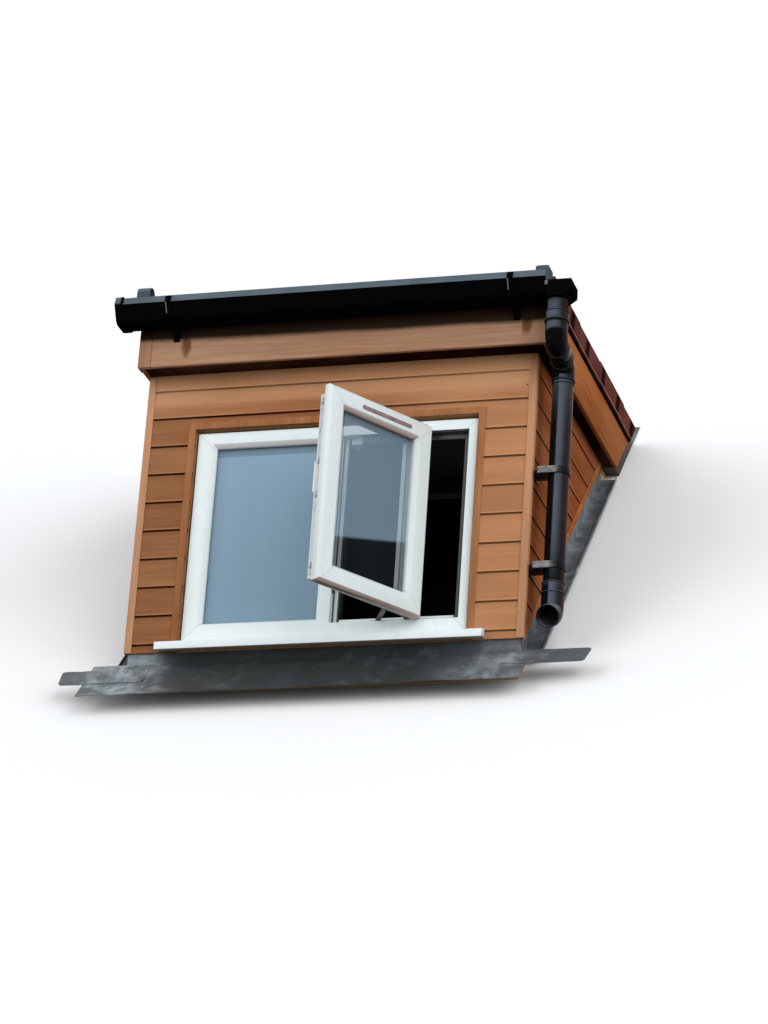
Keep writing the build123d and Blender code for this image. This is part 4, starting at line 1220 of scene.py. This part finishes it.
def gutter_run():
    """The gutter, with a rolled bead along both lips."""
    black = stock("black_plastic", black_plastic)
    bm = bmesh.new()
    add_cad(bm, "gutter")
    low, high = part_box("gutter")
    radius = 0.0024
    for y in (low.y + 0.008 + radius, high.y - radius):
        lip_bead(bm, (low.x + 0.003, y, high.z - radius), high.x - 0.003, radius)
    finished("gutter_run", bm, black, ["gutter"], 40)


def stop_end_seal(bare):
    """The strip of seal that shows at the stop end, as a leaning section carried along x."""
    low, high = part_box("gutter_stop_end")
    section = ((-0.0006, -0.0265), (0.0075, 0.0004), (0.0120, 0.0004), (0.0040, -0.0275))
    start = high.x - 0.0085
    bm = bmesh.new()
    run(bm, [(start, low.y + inward, high.z + level) for inward, level in section], (0.009, 0, 0))
    ease_edges(bm, 0.0004, 2)
    finished("stop_end_seal", bm, bare, (), 40)


def gutter_lug():
    """The small lug on the front of the outlet, at the end of the gutter."""
    _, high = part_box("gutter")
    end, top = high.x, high.z
    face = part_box("gutter_outlet")[0].y
    bm = bmesh.new()
    slab(bm, (end - 0.004, face - 0.0035, top - 0.054), (end + 0.006, face + 0.001, top - 0.038))
    ease_edges(bm, 0.0012, 2)
    lug = stock("lug_plastic", black_plastic, 0.0, linear("62686C"))
    finished("gutter_lug", bm, lug, (), 40)


def gutter_fittings():
    """Stop end, brackets and outlet of the gutter."""
    black = stock("black_plastic", black_plastic)
    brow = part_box("gutter")[1].z - 0.028
    # painted glints down the left of each bracket's strap, below the brow
    scuffs = [((place - 0.0085, brow - 0.033), (place - 0.0055, brow)) for place in BRACKETS]
    bare = stock("bracket_plastic", black_plastic, 0.0, scuffs=scuffs)
    eased_copy("stop_end", "gutter_stop_end", black, 0.0008, 2, 40)
    stop_end_seal(bare)
    gutter_lug()
    eased_copy("fascia_brackets", "gutter_brackets", bare, 0.0008, 2, 40)
    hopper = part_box("gutter_outlet")[0].z + 0.076
    # painted sheen on the outlet's spigot, plain black above the hopper
    spout = stock("outlet_plastic", black_plastic, weather=OUTLET_WEATHER, below=hopper)
    eased_copy("outlet", "gutter_outlet", spout, 0.0008, 2, 40)


def pipe_length(node, black, beads):
    """A length of pipe with beads, each given as its centre, axis, radius and place on the axis."""
    bm = bmesh.new()
    add_cad(bm, node)
    ease_edges(bm, 0.0006, 2, 50)
    for centre, axis, radius, level in beads:
        ring(bm, centre, axis, bead_outline(radius, sizes().bead_size, level))
    finished(f"{node}_length", bm, black, [node], 40)


def bend_rims(above, below, fall, turn, neck):
    """Beads round the meeting ends of the two bends, paler as a painted highlight."""
    bm = bmesh.new()
    for centre, level in ((above, turn), (below, -turn)):
        ring(bm, centre, fall, bead_outline(neck, sizes().bead_size, level))
    # the paler tone is a painted highlight
    rubbed = stock("rubbed_plastic", black_plastic, 0.0, linear("3E3836"))
    finished("bend_rims", bm, rubbed, (), 40)


def pipework():
    """Bends, downpipe and shoe, with beads round their sockets and the ends of the bends."""
    # painted sheen on the front and left of the pipes and bends
    black = stock("pipe_plastic", black_plastic, weather=PIPE_WEATHER, gloss=0.02)
    turned = stock("bend_plastic", black_plastic, weather=BEND_WEATHER, gloss=0.02)
    size = sizes().bead_size
    upright = (0, 0, 1)
    at_outlet, at_pipe = (*OUTLET, 0.0), (*PIPE, 0.0)
    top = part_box("upper_bend")[1].z
    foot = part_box("lower_bend")[0].z
    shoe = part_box("pipe_shoe")[1].z
    above = Vector((*OUTLET, top - 0.100))
    below = Vector((*PIPE, top - 0.108))
    fall = (below - above).normalized()
    pipe_length("upper_bend", turned, (
        (at_outlet, upright, SPIGOT_RADIUS, top - size),
        (at_outlet, upright, SPIGOT_RADIUS, top - SOCKET_LENGTH + size),
    ))
    pipe_length("lower_bend", black, ((at_pipe, upright, SOCKET_RADIUS, foot + size),))
    bend_rims(above, below, fall, 0.0458, SOCKET_RADIUS)
    pipe_length("downpipe", black, ((at_pipe, upright, PIPE_RADIUS, foot - 0.010),))
    pipe_length("pipe_shoe", black, (
        (at_pipe, upright, SOCKET_RADIUS, shoe - size),
        (at_pipe, upright, SOCKET_RADIUS, shoe - SOCKET_LENGTH),
    ))


def pipe_brackets():
    """Clips that hold the downpipe off the cheek."""
    grey = stock("clip_plastic", clip_plastic)
    eased_copy("pipe_brackets", "pipe_clips", grey, 0.0012, 2, 40)


# Lead


def swell(point, centre, reach):
    """A soft round rise, 1 at its centre and 0 beyond its reach."""
    far = ((point[0] - centre[0]) / reach[0]) ** 2 + ((point[1] - centre[1]) / reach[1]) ** 2
    return max(0.0, 1.0 - far) ** 2


def lead_height(x, y):
    """How far dressed lead stands off the tiles at a point, beyond its own thickness."""
    ripple = sizes().lead_ripple
    broad = noise.noise(Vector((x * 13.0, y * 18.0, 0.4)))
    small = noise.noise(Vector((x * 44.0, y * 52.0, 1.7)))
    height = ripple * max(0.0, 0.55 + broad + 0.45 * small)
    for place_x, place_y, wide, deep, rise in LEAD_LUMPS:
        height += rise * swell((x, y), (place_x, place_y), (wide, deep))
    return height


def round_corners(bm, off_tiles, corner):
    """Rounds the edges that stand off the tiles."""
    across = [
        edge for edge in bm.edges
        if abs((edge.verts[1].co - edge.verts[0].co).normalized().dot(off_tiles)) > 0.9
    ]
    bmesh.ops.bevel(
        bm, geom=across, offset=corner, offset_type="OFFSET", affect="EDGES",
        segments=5, profile=0.5, material=-1, clamp_overlap=True,
    )


def worked_lead(name, node, spacing, corner):
    """A sheet of lead with the CAD node's outline, cut fine and dressed into waves."""
    bm = bmesh.new()
    add_cad(bm, node)
    low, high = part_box(node)
    off_tiles = Vector((0, -math.sin(ROOF_PITCH), math.cos(ROOF_PITCH)))
    up_tiles = Vector((0, math.cos(ROOF_PITCH), math.sin(ROOF_PITCH)))
    if corner:
        round_corners(bm, off_tiles, corner)
    for axis in (0, 1):
        normal = Vector((1 - axis, axis, 0))
        place = low[axis] + spacing
        while place < high[axis]:
            geometry = bm.verts[:] + bm.edges[:] + bm.faces[:]
            bmesh.ops.bisect_plane(bm, geom=geometry, plane_co=normal * place, plane_no=normal)
            place += spacing
    fixed_edge, ease_in, ragged_reach = 0.006, 0.02, 0.045
    for vert in bm.verts:
        x, y, _ = vert.co
        free = min(1.0, max(0.0, (high.y - fixed_edge - y) / ease_in))
        vert.co += off_tiles * lead_height(x, y) * free
        edge = min(1.0, max(0.0, 1.0 - (y - low.y) / ragged_reach))
        ragged = 0.0035 * (0.5 + noise.noise(Vector((x * 17.0, 3.3, len(name))))) + 0.0012
        vert.co += up_tiles * (max(0.0, ragged) * edge)
    finished(name, bm, stock("sheet_lead", sheet_lead), [node], 50)


def lead_flashings():
    """The apron, the lapped tails and the channels beside the cheeks."""
    worked_lead("lead_front_apron", "lead_apron", 0.011, 0.0)
    worked_lead("lead_tail_pair", "lead_tails", 0.009, 0.014)
    lead = stock("sheet_lead", sheet_lead)
    for side in SIDES:
        eased_copy(f"lead_channel_{side}", f"side_channel_{side}", lead, 0.0006)


# Timbers


def timbers():
    """Plates, walls, roof boards and the lining inside, with eased edges, some dark as painted shade.
    """
    width = sizes().timber_round
    timber_x = stock("timber_x", sawn_timber, "x")
    timber_y = stock("timber_y", sawn_timber, "y")
    ply_x = stock("ply_x", sheathing, "x")
    ply_y = stock("ply_y", sheathing, "y")
    eased_copy("front_plate", "front_sole_plate", timber_x, width)
    # The dark lining stands for the unlit room; the trimmer takes it too, as painted shade
    dark = stock("lining", plain_lining)
    eased_copy("trimmer", "head_trimmer", dark, width)
    for side in SIDES:
        eased_copy(f"rake_plate_{side}", f"{side}_sole_plate", timber_y, width)
        eased_copy(f"cheek_panel_{side}", f"{side}_cheek_wall", ply_y, width)
    for part in ("left", "right", "above"):
        eased_copy(f"wall_panel_{part}", f"front_wall_{part}", ply_x, width)
    # the roof boards are darkened to a tenth, as painted shade
    ply_roof = stock("ply_roof", sheathing, "y", 0.10)
    eased_copy("roof_boards", "roof_panel", ply_roof, width)
    eased_copy("room_boards", "room_lining", dark, width)


# Stage


def build_camera():
    """The camera at the viewing angle of the photograph."""
    yaw, pitch, roll = (math.radians(angle) for angle in CAMERA_TURN)
    flat = math.cos(pitch)
    ahead = Vector((-math.sin(yaw) * flat, math.cos(yaw) * flat, math.sin(pitch)))
    level = ahead.cross(Vector((0, 0, 1))).normalized()
    upright = level.cross(ahead)
    across = math.cos(roll) * level + math.sin(roll) * upright
    up = -math.sin(roll) * level + math.cos(roll) * upright
    data = bpy.data.cameras.new("view")
    data.sensor_width = CAMERA_SENSOR
    data.lens = CAMERA_LENS
    data.clip_end = 200.0
    camera = bpy.data.objects.new("view", data)
    turn = Matrix((across, up, -ahead)).transposed().to_4x4()
    camera.matrix_world = Matrix.Translation(CAMERA_PLACE) @ turn
    bpy.context.scene.collection.objects.link(camera)
    bpy.context.scene.camera = camera


def soft_lamp(name, towards, strength, spread):
    """A very soft far lamp that shines along a direction."""
    data = bpy.data.lights.new(name, "SUN")
    data.energy = strength
    data.angle = math.radians(spread)
    lamp = bpy.data.objects.new(name, data)
    turn = (-Vector(towards)).to_track_quat("Z", "Y").to_matrix().to_4x4()
    lamp.matrix_world = Matrix.Translation(-LAMP_DISTANCE * Vector(towards)) @ turn
    lamp.visible_glossy = False
    bpy.context.scene.collection.objects.link(lamp)


def build_lights():
    """A white surround, whose light comes mostly from above, and large soft lamps."""
    world = bpy.data.worlds.new("surround")
    bpy.context.scene.world = world
    world.use_nodes = True
    tree = world.node_tree
    tree.nodes.clear()
    path = tree.nodes.new("ShaderNodeLightPath")
    seen = path.outputs["Is Camera Ray"]
    for ray in ("Is Glossy Ray", "Is Transmission Ray"):
        either = tree.nodes.new("ShaderNodeMath")
        either.operation = "MAXIMUM"
        tree.links.new(seen, either.inputs[0])
        tree.links.new(path.outputs[ray], either.inputs[1])
        seen = either.outputs[0]
    sky = tree.nodes.new("ShaderNodeTexCoord")
    level = tree.nodes.new("ShaderNodeSeparateXYZ")
    tree.links.new(sky.outputs["Generated"], level.inputs[0])
    rise = tree.nodes.new("ShaderNodeMapRange")
    rise.inputs[1].default_value = -0.10
    rise.inputs[2].default_value = 0.15
    tree.links.new(level.outputs[2], rise.inputs[0])

    def background(tone, strength):
        light = tree.nodes.new("ShaderNodeBackground")
        light.inputs["Color"].default_value = (*tone, 1.0)
        light.inputs["Strength"].default_value = strength
        return light.outputs[0]

    def mixed(factor, first, second):
        mix = tree.nodes.new("ShaderNodeMixShader")
        for slot, socket in enumerate((factor, first, second)):
            tree.links.new(socket, mix.inputs[slot])
        return mix.outputs[0]

    below, above = background((1.0, 0.96, 0.93), 0.14), background((0.90, 0.95, 1.0), 0.78)
    soft = mixed(rise.outputs[0], below, above)
    out = tree.nodes.new("ShaderNodeOutputWorld")
    tree.links.new(mixed(seen, soft, background((1.0, 1.0, 1.0), 1.0)), out.inputs["Surface"])
    for lamp in LAMPS:
        soft_lamp(*lamp)


def stage_sheet(name, corners, material):
    """A flat sheet of the stage between four corners."""
    bm = bmesh.new()
    bm.faces.new([bm.verts.new(corner) for corner in corners])
    mesh = bpy.data.meshes.new(name)
    bm.to_mesh(mesh)
    bm.free()
    mesh.materials.append(material)
    sheet = bpy.data.objects.new(name, mesh)
    bpy.context.scene.collection.objects.link(sheet)


def pale_floor():
    """A matt pale floor, painted dark where the roof under the dormer is open, as painted shade.

    It is seen from above only, and it leaves the light on the part to the lamps.
    """
    recipe = Recipe("pale_floor")
    x, y, _ = recipe.place()
    # painted shade where the roof under the dormer is open
    opening = (x.size() < 0.60) * (y > -0.01) * (y < 1.0)
    tone = recipe.blend(opening, (0.80, 0.80, 0.80), (0.002, 0.002, 0.002))
    camera = recipe.add("ShaderNodeLightPath", {}, {}, "Is Camera Ray")
    mirror = recipe.add("ShaderNodeLightPath", {}, {}, "Is Glossy Ray")
    behind = recipe.add("ShaderNodeNewGeometry", {}, {}, "Backfacing")
    matt = recipe.add("ShaderNodeBsdfDiffuse", {}, {"Color": tone})
    clear = recipe.add("ShaderNodeBsdfTransparent", {}, {})
    shown = camera.atleast(mirror) * (1.0 - behind)
    mixed = recipe.add("ShaderNodeMixShader", {}, {0: shown, 1: clear, 2: matt})
    recipe.add("ShaderNodeOutputMaterial", {}, {"Surface": mixed})
    return recipe.material


def build_stage():
    """Camera, light, and a floor that slopes with the rafters, on which the part rests."""
    build_camera()
    build_lights()
    ends = ((-1, -1), (1, -1), (1, 1), (-1, 1))
    reach = FLOOR_REACH
    corners = [(x * reach, y * reach, (y * reach - 0.001) * SLOPE) for x, y in ends]
    stage_sheet("floor", corners, pale_floor())


# Operators


class DORMER_OT_timbers(bpy.types.Operator):
    """Build the plates, walls, roof boards and lining"""

    bl_idname = "dormer.timbers"
    bl_label = "Timbers and lining"

    def execute(self, context):
        timbers()
        return {"FINISHED"}


class DORMER_OT_cladding(bpy.types.Operator):
    """Build the boards of the front and the cheeks"""

    bl_idname = "dormer.cladding"
    bl_label = "Cladding boards"

    def execute(self, context):
        front_cladding()
        for side in SIDES:
            cheek_cladding(side)
        return {"FINISHED"}


class DORMER_OT_trims(bpy.types.Operator):
    """Build the corner, window and closing trims and the soffit"""

    bl_idname = "dormer.trims"
    bl_label = "Trims and soffit"

    def execute(self, context):
        oak_trims()
        return {"FINISHED"}


class DORMER_OT_fascias(bpy.types.Operator):
    """Build the fascia boards and their corner joints"""

    bl_idname = "dormer.fascias"
    bl_label = "Fascias"

    def execute(self, context):
        fascias()
        return {"FINISHED"}


class DORMER_OT_window_frame(bpy.types.Operator):
    """Build the fixed window frame and the sill"""

    bl_idname = "dormer.window_frame"
    bl_label = "Window frame and sill"

    def execute(self, context):
        outer_frame()
        sill_board()
        return {"FINISHED"}


class DORMER_OT_casement(bpy.types.Operator):
    """Build the open casement and its furniture"""

    bl_idname = "dormer.casement"
    bl_label = "Open casement"

    def execute(self, context):
        open_casement()
        window_furniture()
        return {"FINISHED"}


class DORMER_OT_glazing(bpy.types.Operator):
    """Build the sealed units and their gaskets"""

    bl_idname = "dormer.glazing"
    bl_label = "Glazing"

    def execute(self, context):
        glass_units()
        gaskets()
        return {"FINISHED"}


class DORMER_OT_roof_edge(bpy.types.Operator):
    """Build the roof sheet, the drip trim, the kerb skirts and their caps"""

    bl_idname = "dormer.roof_edge"
    bl_label = "Roof sheet and kerbs"

    def execute(self, context):
        flat_roof_sheet()
        drip_edge()
        for side in SIDES:
            kerb_skirts(side)
        kerb_end_caps()
        return {"FINISHED"}


class DORMER_OT_gutter(bpy.types.Operator):
    """Build the gutter with its stop end, brackets and outlet"""

    bl_idname = "dormer.gutter"
    bl_label = "Gutter"

    def execute(self, context):
        gutter_run()
        gutter_fittings()
        return {"FINISHED"}


class DORMER_OT_pipework(bpy.types.Operator):
    """Build the bends, the downpipe, its clips and its shoe"""

    bl_idname = "dormer.pipework"
    bl_label = "Pipework"

    def execute(self, context):
        pipework()
        pipe_brackets()
        return {"FINISHED"}


class DORMER_OT_lead(bpy.types.Operator):
    """Build the lead apron, its tails and the side channels"""

    bl_idname = "dormer.lead"
    bl_label = "Lead flashings"

    def execute(self, context):
        lead_flashings()
        return {"FINISHED"}


class DORMER_OT_stage(bpy.types.Operator):
    """Build the floor, the lamps and the camera"""

    bl_idname = "dormer.stage"
    bl_label = "Stage"

    def execute(self, context):
        build_stage()
        return {"FINISHED"}


BUILDERS = (
    DORMER_OT_stage,
    DORMER_OT_timbers,
    DORMER_OT_cladding,
    DORMER_OT_trims,
    DORMER_OT_fascias,
    DORMER_OT_window_frame,
    DORMER_OT_casement,
    DORMER_OT_glazing,
    DORMER_OT_roof_edge,
    DORMER_OT_gutter,
    DORMER_OT_pipework,
    DORMER_OT_lead,
)


class DORMER_PT_dressing(bpy.types.Panel):
    """The settings and the builders of the dormer's pieces"""

    bl_idname = "DORMER_PT_dressing"
    bl_label = "Dormer window"
    bl_space_type = "VIEW_3D"
    bl_region_type = "UI"
    bl_category = "Dormer"

    def draw(self, context):
        for settings in (context.scene.dormer_sizes, context.scene.dormer_colours):
            column = self.layout.column(align=True)
            for name in settings.__annotations__:
                column.prop(settings, name)
        column = self.layout.column(align=True)
        for builder in BUILDERS:
            column.operator(builder.bl_idname)


CLASSES = (DormerSizes, DormerColours, *BUILDERS, DORMER_PT_dressing)


def register():
    """Adds the settings, the builders and the panel."""
    for item in CLASSES:
        bpy.utils.register_class(item)
    bpy.types.Scene.dormer_sizes = PointerProperty(type=DormerSizes)
    bpy.types.Scene.dormer_colours = PointerProperty(type=DormerColours)


def unregister():
    """Takes the settings, the builders and the panel away again."""
    del bpy.types.Scene.dormer_colours
    del bpy.types.Scene.dormer_sizes
    for item in reversed(CLASSES):
        bpy.utils.unregister_class(item)


def main():
    """Registers the add-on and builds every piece."""
    register()
    bpy.context.scene.view_settings.view_transform = "Standard"
    for builder in BUILDERS:
        group, name = builder.bl_idname.split(".")
        getattr(getattr(bpy.ops, group), name)()


if __name__ == "__main__":
    main()
